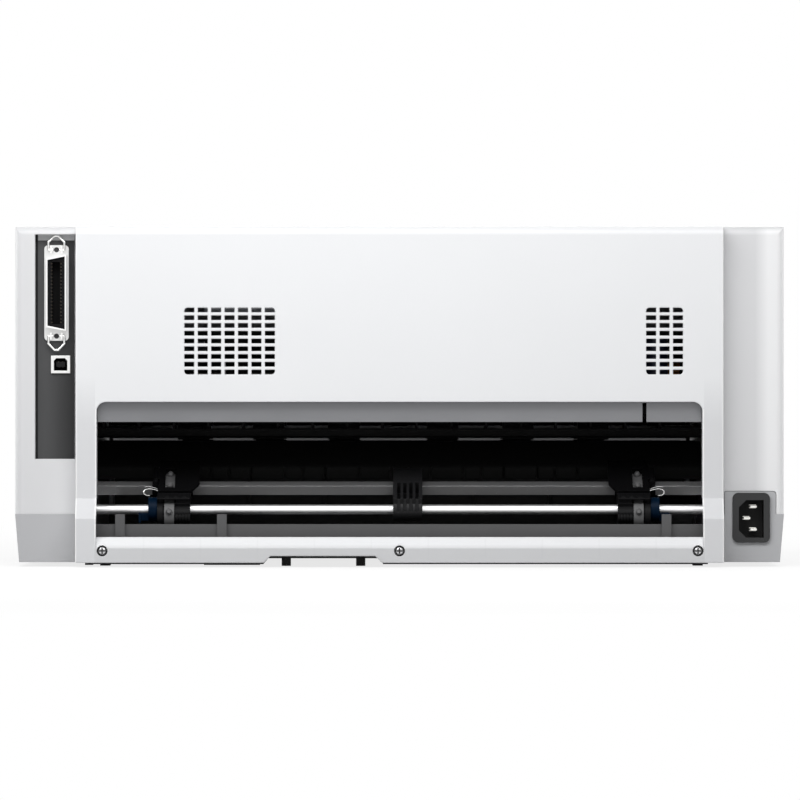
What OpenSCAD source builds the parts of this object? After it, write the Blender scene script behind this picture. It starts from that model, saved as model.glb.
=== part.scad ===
// Flatbed dot matrix printer with rear tractors, built as separate pieces.
// Frame: +X to the right seen from the front, +Y to the rear, +Z up, origin on the
// desk under the middle of the body. Sizes are millimetres, angles are degrees.

/* [Body] */
// Width over both side housings
body_w = 480; // [440:1:600]
// Depth from the paper table's front edge to the rear cover's foot
body_d = 370; // [362:1:460]
// Height from the desk to the flat top
body_h = 212; // [204:1:260]
// Width of each side housing
side_w = 38.3; // [36:0.1:60]
// Thickness of the moulded walls
wall = 2.5; // [2:0.1:3.2]
// Height of the lower case, from its underside to the seam
case_h = 30; // [29:0.1:36]
// How far each side of the lower case draws in towards its underside
case_taper = 2.5; // [0:0.1:4]
// Height of the underside above the desk
foot_h = 2.6; // [2:0.1:6]
// Gap between covers that meet
cover_gap = 0.8; // [0.5:0.1:1.2]
// How far the rear cover's foot stands out behind its face
foot_kick = 10; // [6:0.5:12]
// How far the side housings are set back from the rear cover's face
side_step = 12; // [8:0.5:14]
// Radius of the body's upper rear edge
top_r = 5; // [3:0.5:8]
// Radius of the side housings' upright corners
corner_r = 4; // [2:0.5:8]

/* [Rear opening] */
// Width of the paper opening in the rear cover
open_w = 377.4; // [330:0.1:377.4]
// Height of the opening's sill above the desk
open_bottom = 18.5; // [16:0.1:20]
// Height of the opening's top edge above the desk
open_top = 102.6; // [96:0.1:106]
// Radius of the opening's upper corners
open_r = 6; // [2:0.5:12]

/* [Rear grilles] */
// Width of one grille slot
slot_w = 6.2; // [3:0.1:7]
// Height of one grille slot
slot_h = 2.9; // [1.5:0.1:4]
// Distance between slot columns
slot_pitch_x = 8.36; // [7.5:0.02:10]
// Distance between slot rows
slot_pitch_z = 4.83; // [4.2:0.01:6]
// Rows in each grille
slot_rows = 9; // [3:1:11]
// Columns in the wide grille
wide_cols = 7; // [2:1:10]
// Columns in the narrow grille
narrow_cols = 3; // [2:1:5]
// Radius of a grille's outer corners
grille_r = 2; // [0.5:0.1:2.4]

/* [Paper path] */
// Height of the flat paper path above the desk
path_z = 78; // [76:0.5:84]
// Distance of the feed rollers from the platen
feed_y = 50; // [46:0.5:54]
// Diameter of the driven feed rollers
feed_d = 14.4; // [12:0.1:17.3]
// Diameter of the pinch rollers above them
pinch_d = 12; // [10:0.1:14.4]
// Length of one roller
roller_l = 20; // [14:0.5:26]
// Diameter of the steel ends of the rollers
journal_d = 6; // [5:0.1:7.2]
// Diameter of the rod that carries the print carriage
rod_d = 12; // [10:0.1:14.4]
// Radial clearance of every running fit
run_gap = 0.08; // [0.04:0.01:0.1]

/* [Tractors] */
// Angle at which the tractors climb towards the platen
tractor_tilt = 26.6; // [22:0.1:28]
// Diameter of the tractors' guide shaft
guide_d = 6; // [5:0.1:7.2]
// Width across the flats of the square drive shaft
drive_af = 6.3; // [5:0.1:7.6]
// Distance between the two shafts
shaft_span = 29; // [28:0.1:32]
// Width of the pin belt
belt_w = 6.2; // [5:0.1:7]
// Thickness of the pin belt
belt_t = 1.2; // [0.8:0.1:1.5]
// How far the belt's rear end hangs below the guide shaft
nose_drop = 3.4; // [2.8:0.1:3.6]

/* [Gears] */
// Module of the paper feed gears
gear_m = 1; // [0.9:0.01:1.04]
// Width of the gears
gear_w = 4.2; // [3:0.1:4.4]
// Thinning of each tooth along the pitch circle, for backlash
tooth_thin = 0.3; // [0.2:0.01:0.4]

/* [Keys] */
// Distance between keys
key_pitch = 20; // [17:0.5:26]
// Width of a key
key_w = 15; // [10:0.5:16]
// Length of a key down the slope
key_l = 9; // [6:0.5:11]
// Travel of a key
key_travel = 1; // [0.5:0.1:1.5]

/* [Hidden] */

eps = 0.01;

// Body planes
half_w = body_w / 2;
seam_z = foot_h + case_h;
floor_z = foot_h + wall;
foot_y = body_d / 2;
face_y = foot_y - foot_kick;
side_y = face_y - side_step;
front_y = 37 - body_d / 2;
cover_half = half_w - side_w;
case_y = foot_y - 10;
case_half = cover_half - wall - cover_gap;
ramp_low_z = 30;
ramp_high_z = 42.5;

// Slope of the top: from the flat top down to the nose above the front slot
slope_top_y = side_y - 135;
slope_low = [front_y + 18, 132];
nose_z = 104;
slope_run = slope_top_y - slope_low[0];
slope_fall = body_h - slope_low[1];
slope_a = atan2(slope_fall, slope_run);
function slope_z(y) = body_h - (slope_top_y - y) * slope_fall / slope_run;

// Covers on the slope
hinge_r = 6;
hinge = [slope_top_y - 3, slope_z(slope_top_y - 3)] + hinge_r * [sin(slope_a), -cos(slope_a)];
lid_half = cover_half - cover_gap;
lid_front_y = slope_top_y - 116;
bezel_top_y = lid_front_y - cover_gap;

// Side frames
frame_in = open_w / 2 + 3.5;
frame_t = 2;
frame_out = frame_in + frame_t;
deck_z = 103.4;
gear_x = frame_out + 0.8;

// Front slot, between the paper table below and the nose's lip above
slot_half = frame_in - 1.5;
table_z = path_z - 10;
slot_low_z = table_z - 4;
slot_top_z = table_z + 8;

// Shafts, as [Y, Z]
guide_c = [face_y - 25, 35.3];
drive_c = guide_c + shaft_span * [-cos(tractor_tilt), sin(tractor_tilt)];
feed_z = path_z - feed_d / 2;
feed_rear_c = [feed_y, feed_z];
feed_front_c = [-feed_y, feed_z];
nip_gap = 0.3;
pinch_z = path_z + nip_gap + pinch_d / 2;
rod_c = [25, path_z + 30];
belt_c = [52, path_z + 16];
shield_t = 1;
roller_x0 = 4;
roller_first = 31.7;
roller_pitch = 48;
ROLLER_X = [for (s = [-1, 1]) for (k = [0:2]) roller_x0 + s * (roller_first + k * roller_pitch)];

// Pin belts run round the drive shaft and a nose below the guide shaft.
// Nine pins at the paper's half inch pitch set the radius of the loop.
nose_c = guide_c - [0, nose_drop];
belt_span = norm(drive_c - nose_c);
belt_a = asin((drive_c[1] - nose_c[1]) / belt_span);
tilt_s = [-cos(belt_a), sin(belt_a)];
tilt_n = [sin(belt_a), cos(belt_a)];
pin_pitch = 12.7;
pin_count = 9;
belt_pr = (pin_pitch * pin_count - 2 * belt_span) / (2 * PI);
belt_out = belt_pr + belt_t / 2;
belt_in = belt_pr - belt_t / 2;
pin_h = 2.6;
tractor_right_x = 144;
tractor_left_x = -149.5;
plate_t = 3.6;
block_w = 9.5;
side_gap = 0.4;

// Gear teeth
feed_teeth = 24;
drive_teeth = round(feed_teeth * belt_pr / (feed_d / 2));
pinion_teeth = 14;
function pitch_r(teeth) = gear_m * teeth / 2;
function span(a, b) = norm(b - a);
function idler_teeth(a, ta, b, tb) = ceil((span(a, b) - pitch_r(ta) - pitch_r(tb)) / gear_m) + 2;
// Centre of an idler that meshes with the gears at a and b: side is -1 below their line, 1 above
function idler_at(a, ta, b, tb, teeth, side) =
    let (ra = pitch_r(ta) + pitch_r(teeth), rb = pitch_r(tb) + pitch_r(teeth), d = span(a, b),
         along = (ra * ra - rb * rb + d * d) / (2 * d), u = (b - a) / d)
    a + along * u + sqrt(ra * ra - along * along) * [-u[1], u[0]] * (u[0] > 0 ? side : -side);
// An idler hangs below the line where its teeth clear the case's floor, and else sits above it
function idler_c(a, ta, b, tb, teeth) =
    let (low = idler_at(a, ta, b, tb, teeth, -1))
    low[1] - pitch_r(teeth) - gear_m > floor_z + 1 ? low : idler_at(a, ta, b, tb, teeth, 1);
// Angle that puts gear b in mesh with gear a, whose own phase is pa
function mesh_phase(a, ta, pa, b, tb) =
    let (t = atan2(b[1] - a[1], b[0] - a[0]))
    t + 180 - 360 / tb * (0.5 - (t - pa) * ta / 360);
idler_rear_n = idler_teeth(drive_c, drive_teeth, feed_rear_c, feed_teeth);
idler_middle_n = idler_teeth(feed_rear_c, feed_teeth, feed_front_c, feed_teeth);
idler_rear_c = idler_c(drive_c, drive_teeth, feed_rear_c, feed_teeth, idler_rear_n);
idler_middle_c = idler_c(feed_rear_c, feed_teeth, feed_front_c, feed_teeth, idler_middle_n);
// The motor hangs in front of and below the middle idler, clear of the frame's foot flange
motor_d = 41;
motor_mesh = pitch_r(idler_middle_n) + pitch_r(pinion_teeth);
motor_a = min(45, asin((idler_middle_c[1] - floor_z - 2.5 - motor_d / 2) / motor_mesh));
motor_c = idler_middle_c - motor_mesh * [cos(motor_a), sin(motor_a)];
middle_phase = 0;
rear_feed_phase = mesh_phase(idler_middle_c, idler_middle_n, middle_phase, feed_rear_c, feed_teeth);
front_feed_phase = mesh_phase(idler_middle_c, idler_middle_n, middle_phase, feed_front_c, feed_teeth);
pinion_phase = mesh_phase(idler_middle_c, idler_middle_n, middle_phase, motor_c, pinion_teeth);
rear_idler_phase = mesh_phase(feed_rear_c, feed_teeth, rear_feed_phase, idler_rear_c, idler_rear_n);
drive_phase = mesh_phase(idler_rear_c, idler_rear_n, rear_idler_phase, drive_c, drive_teeth);

// Rear connectors, as [X, Z]
port_c = [half_w - 25.55, body_h - 41.3];
usb_c = [half_w - 28.1, body_h - 85.95];
inlet_c = [20.5 - half_w, 30.35];
bay_x = [cover_half + 0.3, half_w - 12.4];
bay_z = [67, body_h - 4.8];
bay_depth = 7.5;
panel_y = side_y - bay_depth;
panel_t = 1.5;

// Paths, outlines and placing
function unit(v) = v / norm(v);
function arc(c, r, a0, a1, n = 6) = [for (i = [0:n]) c + r * [cos(a0 + (a1 - a0) * i / n), sin(a0 + (a1 - a0) * i / n)]];
// A closed outline drawn anticlockwise, moved inwards by d
function inset(p, d) = [for (i = [0:len(p) - 1])
    let (n = len(p), u = unit(p[i] - p[(i + n - 1) % n]), v = unit(p[(i + 1) % n] - p[i]),
         nu = [-u[1], u[0]], nv = [-v[1], v[0]])
    p[i] + d * (nu + nv) / (1 + nu * nv)];
// An open path moved to its left by d
function shift_path(p, d) = [for (i = [0:len(p) - 1])
    let (n = len(p), u = unit(p[max(i, 1)] - p[max(i, 1) - 1]),
         v = unit(p[min(i + 1, n - 1)] - p[min(i + 1, n - 1) - 1]),
         nu = [-u[1], u[0]], nv = [-v[1], v[0]])
    p[i] + d * (nu + nv) / (1 + nu * nv)];
function reversed(p) = [for (i = [len(p) - 1:-1:0]) p[i]];
// An open path thickened to its left by t
function skin(p, t) = concat(p, reversed(shift_path(p, t)));
function on_tilt(s, n) = nose_c + s * tilt_s + n * tilt_n;

module box(lo, hi) {
    translate(lo) cube(hi - lo);
}
// A Y-Z outline carried along X from x0 to x1
module along_x(x0, x1) {
    translate([x0, 0, 0]) rotate([90, 0, 90]) linear_extrude(x1 - x0) children();
}
// An X-Z outline carried along Y from y0 to y1
module along_y(y0, y1) {
    translate([0, y1, 0]) rotate([90, 0, 0]) linear_extrude(y1 - y0) children();
}
// A round bar along X, centred on the [Y, Z] point c
module bar_x(x0, x1, c, d, fn = 48) {
    translate([x0, c[0], c[1]]) rotate([0, 90, 0]) cylinder(h = x1 - x0, d = d, $fn = fn);
}
// A round bar along Y, centred on the [X, Z] point c
module bar_y(y0, y1, c, d, fn = 32) {
    translate([c[0], y1, c[1]]) rotate([90, 0, 0]) cylinder(h = y1 - y0, d = d, $fn = fn);
}
module round_rect(w, h, r) {
    polygon(concat(arc([w / 2 - r, h / 2 - r], r, 0, 90), arc([r - w / 2, h / 2 - r], r, 90, 180),
        arc([r - w / 2, r - h / 2], r, 180, 270), arc([w / 2 - r, r - h / 2], r, 270, 360)));
}
module both_sides() {
    children();
    mirror([1, 0, 0]) children();
}

// ---- Case ----

CASE_PLAN = [[-half_w, front_y], [half_w, front_y], [half_w, side_y], [case_half, side_y],
    [case_half, case_y], [-case_half, case_y], [-case_half, side_y], [-half_w, side_y]];
foot_w = 6.2;
foot_l = 18;
FOOT_X = [half_w - 55.4, 52.9 - half_w];
FOOT_Y = [front_y + 14, side_y - 26];
PEG_X = [70.6, 24.2];
COVER_SCREW_X = [open_w / 2 - 3.9, 0, 3.2 - open_w / 2];
cover_screw_z = 10;
notch_x = [10.9, 84.4];
notch_h = 4.2;
notch_y = 0;

module case_solid(d) {
    intersection() {
        translate([0, 0, foot_h + d]) linear_extrude(case_h + (d > 0 ? 60 : -d)) polygon(inset(CASE_PLAN, d));
        along_y(front_y - 1, case_y + 1) polygon([[-half_w + d, seam_z], [d - half_w + case_taper, foot_h],
            [half_w - case_taper - d, foot_h], [half_w - d, seam_z], [half_w - d, seam_z + 60], [d - half_w, seam_z + 60]]);
    }
}
seam_gap = 0.25;
inlet_w = 23.4;
inlet_h = 31.1;
tongue_x = [-half_w + 5, -cover_half - 1.3];
tongue_z = inlet_c[1] + inlet_h / 2 + 0.8;
module tongue(gap = 0, depth = wall) {
    along_y(side_y - depth, side_y) polygon(concat([[tongue_x[1] + gap, seam_z - 4]],
        arc([tongue_x[1] + gap - 1, tongue_z + gap - 1], 1, 0, 90, 3),
        arc([tongue_x[0] - gap + 2, tongue_z + gap - 2], 2, 90, 180, 3), [[tongue_x[0] - gap, seam_z - 4]]));
}
module inlet_hole(gap) {
    along_y(side_y - 30, side_y + 5) translate(inlet_c) square([inlet_w - 4 + 2 * gap, inlet_h - 4 + 2 * gap], center = true);
}
module lower_case() color("gainsboro") difference() {
    union() {
        difference() {
            case_solid(0);
            case_solid(wall);
            box([-slot_half, case_y - 9, open_bottom - 0.5], [slot_half, case_y + 1, seam_z + 1]);
        }
        tongue();
        box([notch_x[0] - wall, notch_y - wall, floor_z - 1], [notch_x[1] + wall, case_y - 1, foot_h + notch_h + wall]);
        for (x = COVER_SCREW_X) bar_y(case_y - 9, case_y - eps, [x, cover_screw_z], 7);
        both_sides() for (y = [front_y + 30, side_y - 40]) translate([half_w - 15, y, floor_z - 1]) cylinder(h = case_h - wall, d = 9, $fn = 32);
    }
    box([notch_x[0], notch_y, foot_h - 1], [notch_x[1], case_y + 1, foot_h + notch_h]);
    both_sides() box([cover_half, side_y - wall - 1, foot_h - 1], [cover_half + 1, side_y + 1, seam_z + 1]);
    inlet_hole(0);
    for (x = COVER_SCREW_X) bar_y(case_y - 12, case_y + 1, [x, cover_screw_z], 2.6);
    both_sides() floor_vents(foot_h - 1, floor_z + 1);
}
// Air slots in the floor, under the boards
module floor_vents(z0, z1) {
    for (k = [0:7]) box([40 + k * 10, -66, z0], [44 + k * 10, notch_y - 8, z1]);
}
plate_z = 1.4;
LATCH_X = [[86.9, 121.7], [190.9, 195.8]];
module base_plate() color("dimgray") difference() {
    union() {
        box([6 - case_half, front_y + 20, plate_z], [case_half - 6, case_y - 8, foot_h]);
        for (x = LATCH_X) box([x[0], case_y - 9, plate_z - 0.3], [x[1], case_y + 1, foot_h]);
    }
    box([notch_x[0] - 0.5, notch_y - 0.5, plate_z - 1], [notch_x[1] + 0.5, case_y + 2, foot_h + 1]);
    both_sides() floor_vents(plate_z - 1, foot_h + 1);
    at_feet() translate([0, 0, -eps]) linear_extrude(foot_h + 1) round_rect(foot_w + 2, foot_l + 2, 3);
}
module at_feet() {
    for (x = FOOT_X) for (y = FOOT_Y) translate([x, y, 0]) children();
}
module rubber_feet() color("black") {
    at_feet() linear_extrude(foot_h) round_rect(foot_w, foot_l, 2);
    for (x = PEG_X) translate([x, case_y - 7, 0.4]) cylinder(h = foot_h + notch_h - 0.4, d = 5.8, $fn = 32);
}

// ---- Rear cover ----

cover_top_y = hinge[0] + hinge_r + cover_gap;
return_d = 22;
screw_depth = 3.2;
washer_r = 3.3;
COVER_PATH = concat([[foot_y, foot_h], [foot_y, ramp_low_z], [face_y, ramp_high_z]],
    arc([face_y - top_r, body_h - top_r], top_r, 0, 90, 8), [[cover_top_y, body_h]]);
grille_top_z = body_h - 50.7;
wide_x = 134;
narrow_x = -153.6;
module grille(x1, cols) {
    w = (cols - 1) * slot_pitch_x + slot_w;
    h = (slot_rows - 1) * slot_pitch_z + slot_h;
    intersection() {
        for (c = [0:cols - 1]) for (r = [0:slot_rows - 1])
            translate([x1 - c * slot_pitch_x - slot_w, grille_top_z - r * slot_pitch_z - slot_h]) square([slot_w, slot_h]);
        translate([x1 - w / 2, grille_top_z - h / 2]) round_rect(w, h, grille_r);
    }
}
module rear_opening() {
    polygon(concat([[open_w / 2, open_bottom], [open_w / 2, open_top - open_r]],
        arc([open_w / 2 - open_r, open_top - open_r], open_r, 0, 90, 8),
        arc([open_r - open_w / 2, open_top - open_r], open_r, 90, 180, 8), [[-open_w / 2, open_bottom]]));
}
module cover_return() {
    along_x(cover_half - wall, cover_half) polygon(concat(COVER_PATH, [[cover_top_y, body_h - 6], [face_y - return_d, body_h - 14],
        [face_y - return_d, seam_z + 1], [side_y + 0.5, seam_z + 1], [side_y + 0.5, foot_h]]));
}
module rear_cover() color("white") difference() {
    union() {
        along_x(-cover_half, cover_half) polygon(skin(COVER_PATH, wall));
        both_sides() cover_return();
        along_x(-cover_half + 1, cover_half - 1) polygon([[foot_y - wall + eps, open_bottom - 4], [foot_y - wall + eps, open_bottom],
            [case_y + 0.6, open_bottom], [case_y + 0.6, open_bottom - 2]]);
        for (x = COVER_SCREW_X) bar_y(case_y + 0.05, foot_y - 1, [x, cover_screw_z], 8);
        both_sides() box([open_w / 2, face_y - 12, ramp_high_z], [open_w / 2 + wall, face_y - wall + eps, open_top]);
        box([-open_w / 2 - wall, face_y - 6, open_top + 1.2], [open_w / 2 + wall, face_y - wall + eps, open_top + 3.2]);
    }
    along_y(face_y - 40, foot_y + 5) rear_opening();
    along_x(-open_w / 2, open_w / 2) polygon([[foot_y - 5, open_bottom + eps], [foot_y + 1, open_bottom + eps], [foot_y + 1, open_bottom - 8]]);
    along_y(face_y - wall - 2, face_y + 2) grille(wide_x, wide_cols);
    along_y(face_y - wall - 2, face_y + 2) grille(narrow_x, narrow_cols);
    along_y(case_y - 20, foot_y + 5) polygon([[notch_x[0], foot_h - 1], [notch_x[1], foot_h - 1], [notch_x[1], foot_h],
        [notch_x[1] - notch_h, foot_h + notch_h], [notch_x[0] + notch_h, foot_h + notch_h], [notch_x[0], foot_h]]);
    for (x = COVER_SCREW_X) bar_y(foot_y - screw_depth, foot_y + 1, [x, cover_screw_z], 2 * washer_r + 0.1);
    for (x = COVER_SCREW_X) bar_y(case_y - 1, foot_y + 1, [x, cover_screw_z], 3.4);
}
// Each screw sits with a black cup washer in a recess
module rear_screws() color("silver") for (x = COVER_SCREW_X) translate([x, foot_y - screw_depth, cover_screw_z]) difference() {
    rotate([-90, 0, 0]) rotate_extrude($fn = 40) polygon(concat(
        [[0, -15], [1.3, -15], [1.3, 0], [washer_r, 0], [washer_r, 2.4], [2.85, 2.4], [2.85, 0.7], [2.6, 0.7]],
        arc([1.3, 1.3], 1.3, 0, 90, 5), [[0, 2.6]]));
    for (a = [0, 90]) translate([0, 2.6, 0]) rotate([0, a, 0]) cube([3.6, 2, 0.8], center = true);
}

// ---- Side housings ----

HOUSING = concat([[front_y, seam_z], [side_y, seam_z]], arc([side_y - top_r, body_h - top_r], top_r, 0, 90, 6),
    [[slope_top_y, body_h], slope_low, [front_y, nose_z]]);
module housing_solid(d) {
    x0 = cover_half + d;
    x1 = half_w - d;
    r = max(corner_r - d, 0.5);
    intersection() {
        along_x(x0, x1) polygon(d > 0 ? inset(concat([[front_y, seam_z - 9], [side_y, seam_z - 9]],
            [for (i = [2:len(HOUSING) - 1]) HOUSING[i]]), d) : HOUSING);
        linear_extrude(body_h + 1) polygon(concat([[x0, front_y + d], [x1 - r, front_y + d]],
            arc([x1 - r, front_y + d + r], r, -90, 0, 4), arc([x1 - r, side_y - d - r], r, 0, 90, 4), [[x0, side_y - d]]));
    }
}
module housing() {
    difference() {
        housing_solid(0);
        housing_solid(wall);
        box([cover_half - 1, -70, seam_z + 20], [cover_half + wall + 1, side_y - 60, 110]);
        bar_x(cover_half - 1, cover_half + wall + 1, hinge, 4.2);
    }
    for (y = [front_y + 30, side_y - 40]) translate([half_w - 15, y, 0]) {
        translate([0, 0, seam_z]) cylinder(h = 30, d = 9, $fn = 32);
        translate([0, -1, seam_z]) cube([14, 2, 30]);
    }
}
module side_housing_right() color("whitesmoke") difference() {
    union() {
        housing();
        box([bay_x[1], panel_y, bay_z[0] - 2], [bay_x[1] + 2, side_y - 1, bay_z[1] + 2]);
        box([cover_half + eps, panel_y, bay_z[0] - 2], [bay_x[1] + 1, side_y - 1, bay_z[0]]);
        box([cover_half + eps, panel_y, bay_z[1]], [bay_x[1] + 1, side_y - 1, bay_z[1] + 2]);
    }
    box([cover_half - 1, panel_y - 2.5, bay_z[0]], [bay_x[1], side_y + 1, bay_z[1]]);
    box([cover_half - 1, panel_y - 2.5, bay_z[0] - 2.2], [cover_half + wall + 1, panel_y, bay_z[1] + 1.8]);
}
SWITCH_C = [front_y + 40, 70];
switch_w = 13;
switch_l = 20;
switch_axis_x = -half_w + 4.6;
module side_housing_left() color("whitesmoke") difference() {
    union() {
        mirror([1, 0, 0]) housing();
        box([-half_w + 1, SWITCH_C[0] - 4, SWITCH_C[1] - 11], [-half_w + 8, SWITCH_C[0] + 4, SWITCH_C[1] + 11]);
    }
    tongue(seam_gap, 40);
    inlet_hole(0.2);
    box([-half_w - 1, SWITCH_C[0] - switch_l / 2 - 0.4, SWITCH_C[1] - switch_w / 2 - 0.4],
        [-half_w + wall + 8, SWITCH_C[0] + switch_l / 2 + 0.4, SWITCH_C[1] + switch_w / 2 + 0.4]);
    translate([switch_axis_x, SWITCH_C[0], SWITCH_C[1]]) cylinder(h = 30, d = 3 + 2 * run_gap, center = true, $fn = 24);
}
module power_switch() color("black") intersection() {
    translate([switch_axis_x, SWITCH_C[0], SWITCH_C[1]]) union() {
        linear_extrude(switch_w, center = true) polygon([[0, -switch_l / 2 + 0.5], [6, 0 - 4], [6, 4], [0, switch_l / 2 - 0.5],
            [-4.6, switch_l / 2 - 0.9], [-2.2, 0], [-2.8, -switch_l / 2 + 0.5]]);
        cylinder(h = switch_w + 3, d = 3, center = true, $fn = 24);
    }
    box([-half_w - 5, -999, 0], [-half_w + 30, 999, 200]);
}

// ---- Front ----

lip_r = 5;
BEZEL_PATH = concat([[front_y + 14, slot_top_z + 2.5]], arc([front_y + lip_r, slot_top_z + lip_r], lip_r, 270, 180, 6),
    [[front_y, nose_z], slope_low, [bezel_top_y, slope_z(bezel_top_y)]]);
key_mid = [cover_half - 45, (slope_low[0] + bezel_top_y) / 2];
KEY_X = [for (k = [0:2]) key_mid[0] + (k - 1) * key_pitch];
module on_slope(x, y, lift = 0) {
    translate([x, y, slope_z(y)]) rotate([slope_a, 0, 0]) translate([0, 0, lift]) children();
}
module key_holes(gap) {
    for (x = KEY_X) on_slope(x, key_mid[1], -wall - 4) linear_extrude(12) round_rect(key_w + 2 * gap, key_l + 2 * gap, 1.5);
}
LAMP_Y = key_mid[1] + 10;
module front_bezel() color("whitesmoke") difference() {
    union() {
        along_x(-lid_half, lid_half) polygon(skin(BEZEL_PATH, -wall));
        both_sides() along_x(slot_half, lid_half) polygon([[front_y, seam_z], [front_y + 12, seam_z], [front_y + 12, nose_z],
            [slope_low[0] + 10, slope_low[1] - 14], [bezel_top_y, slope_z(bezel_top_y) - 14], [bezel_top_y, slope_z(bezel_top_y) - 1],
            [slope_low[0], slope_low[1] - eps], [front_y, nose_z]]);
        box([-lid_half, front_y, seam_z], [lid_half, front_y + wall, slot_low_z]);
        box([-slot_half - 1, front_y, slot_low_z - wall], [slot_half + 1, front_y + 10, slot_low_z]);
        for (k = [-3:3]) box([k * 50 - 1, front_y + wall - eps, seam_z], [k * 50 + 1, front_y + 10, slot_low_z - 1]);
    }
    key_holes(0.4);
    for (x = KEY_X) on_slope(x, LAMP_Y, -wall - 2) cylinder(h = 6, d = 2.4, $fn = 24);
}
// A cap stands proud of the bezel by a little more than its travel
key_rise = key_travel + 0.2;
module key(x) color("lightgray") on_slope(x, key_mid[1], 0) {
    translate([0, 0, -wall - 1]) linear_extrude(wall + 1 + key_rise) round_rect(key_w, key_l, 1.2);
    translate([0, 0, -wall - 2]) linear_extrude(1.01) round_rect(key_w + 2, key_l + 2, 1.2);
    translate([0, 0, -wall - 5]) cylinder(h = 3.01, d = 4, $fn = 24);
}
module key_left() { key(KEY_X[0]); }
module key_middle() { key(KEY_X[1]); }
module key_right() { key(KEY_X[2]); }

table_front_y = -body_d / 2;
table_back_y = -feed_y - 34;
table_t = 3;
rib_pitch = 42;
TABLE_PATH = concat([[table_front_y, table_z - 12.5]], reversed(arc([table_front_y + 6, table_z - 6], 6, 90, 180, 6)),
    [[front_y + 8, table_z], [table_back_y, path_z - 1.5]]);
module paper_table() color("gainsboro") difference() {
    union() {
        along_x(-slot_half + 1, slot_half - 1) polygon(skin(TABLE_PATH, -table_t));
        for (k = [-4:4]) along_x(k * rib_pitch - 1, k * rib_pitch + 1) polygon([[table_front_y + 2, table_z - 10.5],
            [front_y - 4, slot_low_z], [table_back_y, slot_low_z], [table_back_y, path_z - 2], [front_y + 8, table_z - 0.5],
            [table_front_y + 5, table_z - 0.5]]);
    }
    for (k = [-4:3]) box([(k + 1 / 3) * rib_pitch, table_back_y - 26, table_z - 6],
        [(k + 2 / 3) * rib_pitch, table_back_y - 10, path_z]);
}

// ---- Top cover ----

LID_PATH = concat([[lid_front_y, slope_z(lid_front_y)]], reversed(arc(hinge, hinge_r, -60, 90 + slope_a, 10)));
window_x = 128;
window_y = [lid_front_y + 24, slope_top_y - 24];
module lid_field(x0, x1, ya, yb, z0, z1) {
    translate([0, ya, slope_z(ya)]) rotate([slope_a, 0, 0]) translate([x0, 0, z0]) cube([x1 - x0, (yb - ya) / cos(slope_a), z1 - z0]);
}
module top_cover() color("whitesmoke") difference() {
    union() {
        along_x(-lid_half, lid_half) polygon(skin(LID_PATH, -wall));
        both_sides() along_x(lid_half - wall, lid_half) polygon([[lid_front_y + 1.4, slope_z(lid_front_y + 1.4) - 1], [lid_front_y + 1.4, slope_z(lid_front_y) - 8],
            [hinge[0] - 12, slope_z(hinge[0] - 12) - 10], [hinge[0], hinge[1] - 5], [hinge[0] + 3, hinge[1]],
            [hinge[0] - 4, slope_z(hinge[0] - 4) - 1]]);
        both_sides() bar_x(lid_half - 12, lid_half + cover_gap + wall, hinge, 4.0);
        both_sides() bar_x(lid_half - 12, lid_half, hinge, 8);
        lid_field(-window_x - 5, window_x + 5, window_y[0] - 5, window_y[1] + 5, -wall - 2, -wall + 0.5);
    }
    lid_field(-window_x, window_x, window_y[0], window_y[1], -wall - 5, 2);
    lid_field(-window_x - 2.5, window_x + 2.5, window_y[0] - 2.5, window_y[1] + 2.5, -2, 2);
    translate([0, lid_front_y - 3, slope_z(lid_front_y)]) rotate([slope_a, 0, 0]) cylinder(h = 12, d = 40, center = true, $fn = 64);
}
module cover_window() color("dimgray", 0.6)
    lid_field(-window_x - 2.3, window_x + 2.3, window_y[0] - 2.3, window_y[1] + 2.3, -2, -0.2);

// ---- Connectors and boards ----

port_flange = [15.3, 59.8];
module d_outline(w, h, cut) {
    // Long along Z; the wide side towards the middle of the printer
    polygon([[-w / 2, -h / 2], [w / 2, -h / 2 + cut], [w / 2, h / 2 - cut], [-w / 2, h / 2]]);
}
module parallel_port() translate([port_c[0], panel_y, port_c[1]]) {
    color("silver") {
        difference() {
            union() {
                along_y(0, 1.2) round_rect(port_flange[0], port_flange[1], 2.5);
                along_y(0, 7) d_outline(12.8, 47.6, 2.2);
                for (s = [-1, 1]) for (x = [-3.4, 3.4]) box([x - 0.6, 0, s * 27 - 2.2], [x + 0.6, 4.2, s * 27 + 2.2]);
            }
            along_y(-20, 8) d_outline(10.7, 45.5, 2.2);
            for (s = [-1, 1]) bar_y(-2, 3, [0, s * 27], 3.2);
            for (s = [-1, 1]) bar_x(-8, 8, [2.9, s * 27], 1.7);
        }
    }
    color("black") difference() {
        union() {
            along_y(-12, 5.2) d_outline(10.7, 45.5, 2.2);
            along_y(-12, -panel_t) d_outline(13.6, 48, 2.2);
        }
        along_y(-4, 8) square([4.8, 39], center = true);
        for (s = [-1, 1]) for (k = [0:17]) box([s * 2.4 - (s > 0 ? 0.01 : 1), -3, (k - 8.5) * 2.16 - 0.6], [s * 2.4 + (s > 0 ? 1 : 0.01), 7, (k - 8.5) * 2.16 + 0.6]);
    }
}
bail_d = 1.5;
bail_reach = 8.6;
module bail(s) color("silver") translate([port_c[0], panel_y + 2.9, port_c[1] + s * 27]) {
    for (t = [-1, 1]) {
        rod_between([t * 2.4, 0, 0], [t * 4.8, 0, 0], bail_d);
        rod_between([t * 4.8, 0, 0], [t * 5, 0, s * 4.7], bail_d);
        rod_between([t * 5, 0, s * 4.7], [t * 1.2, 0, s * bail_reach], bail_d);
    }
    rod_between([-1.2, 0, s * bail_reach], [1.2, 0, s * bail_reach], bail_d);
}
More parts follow.
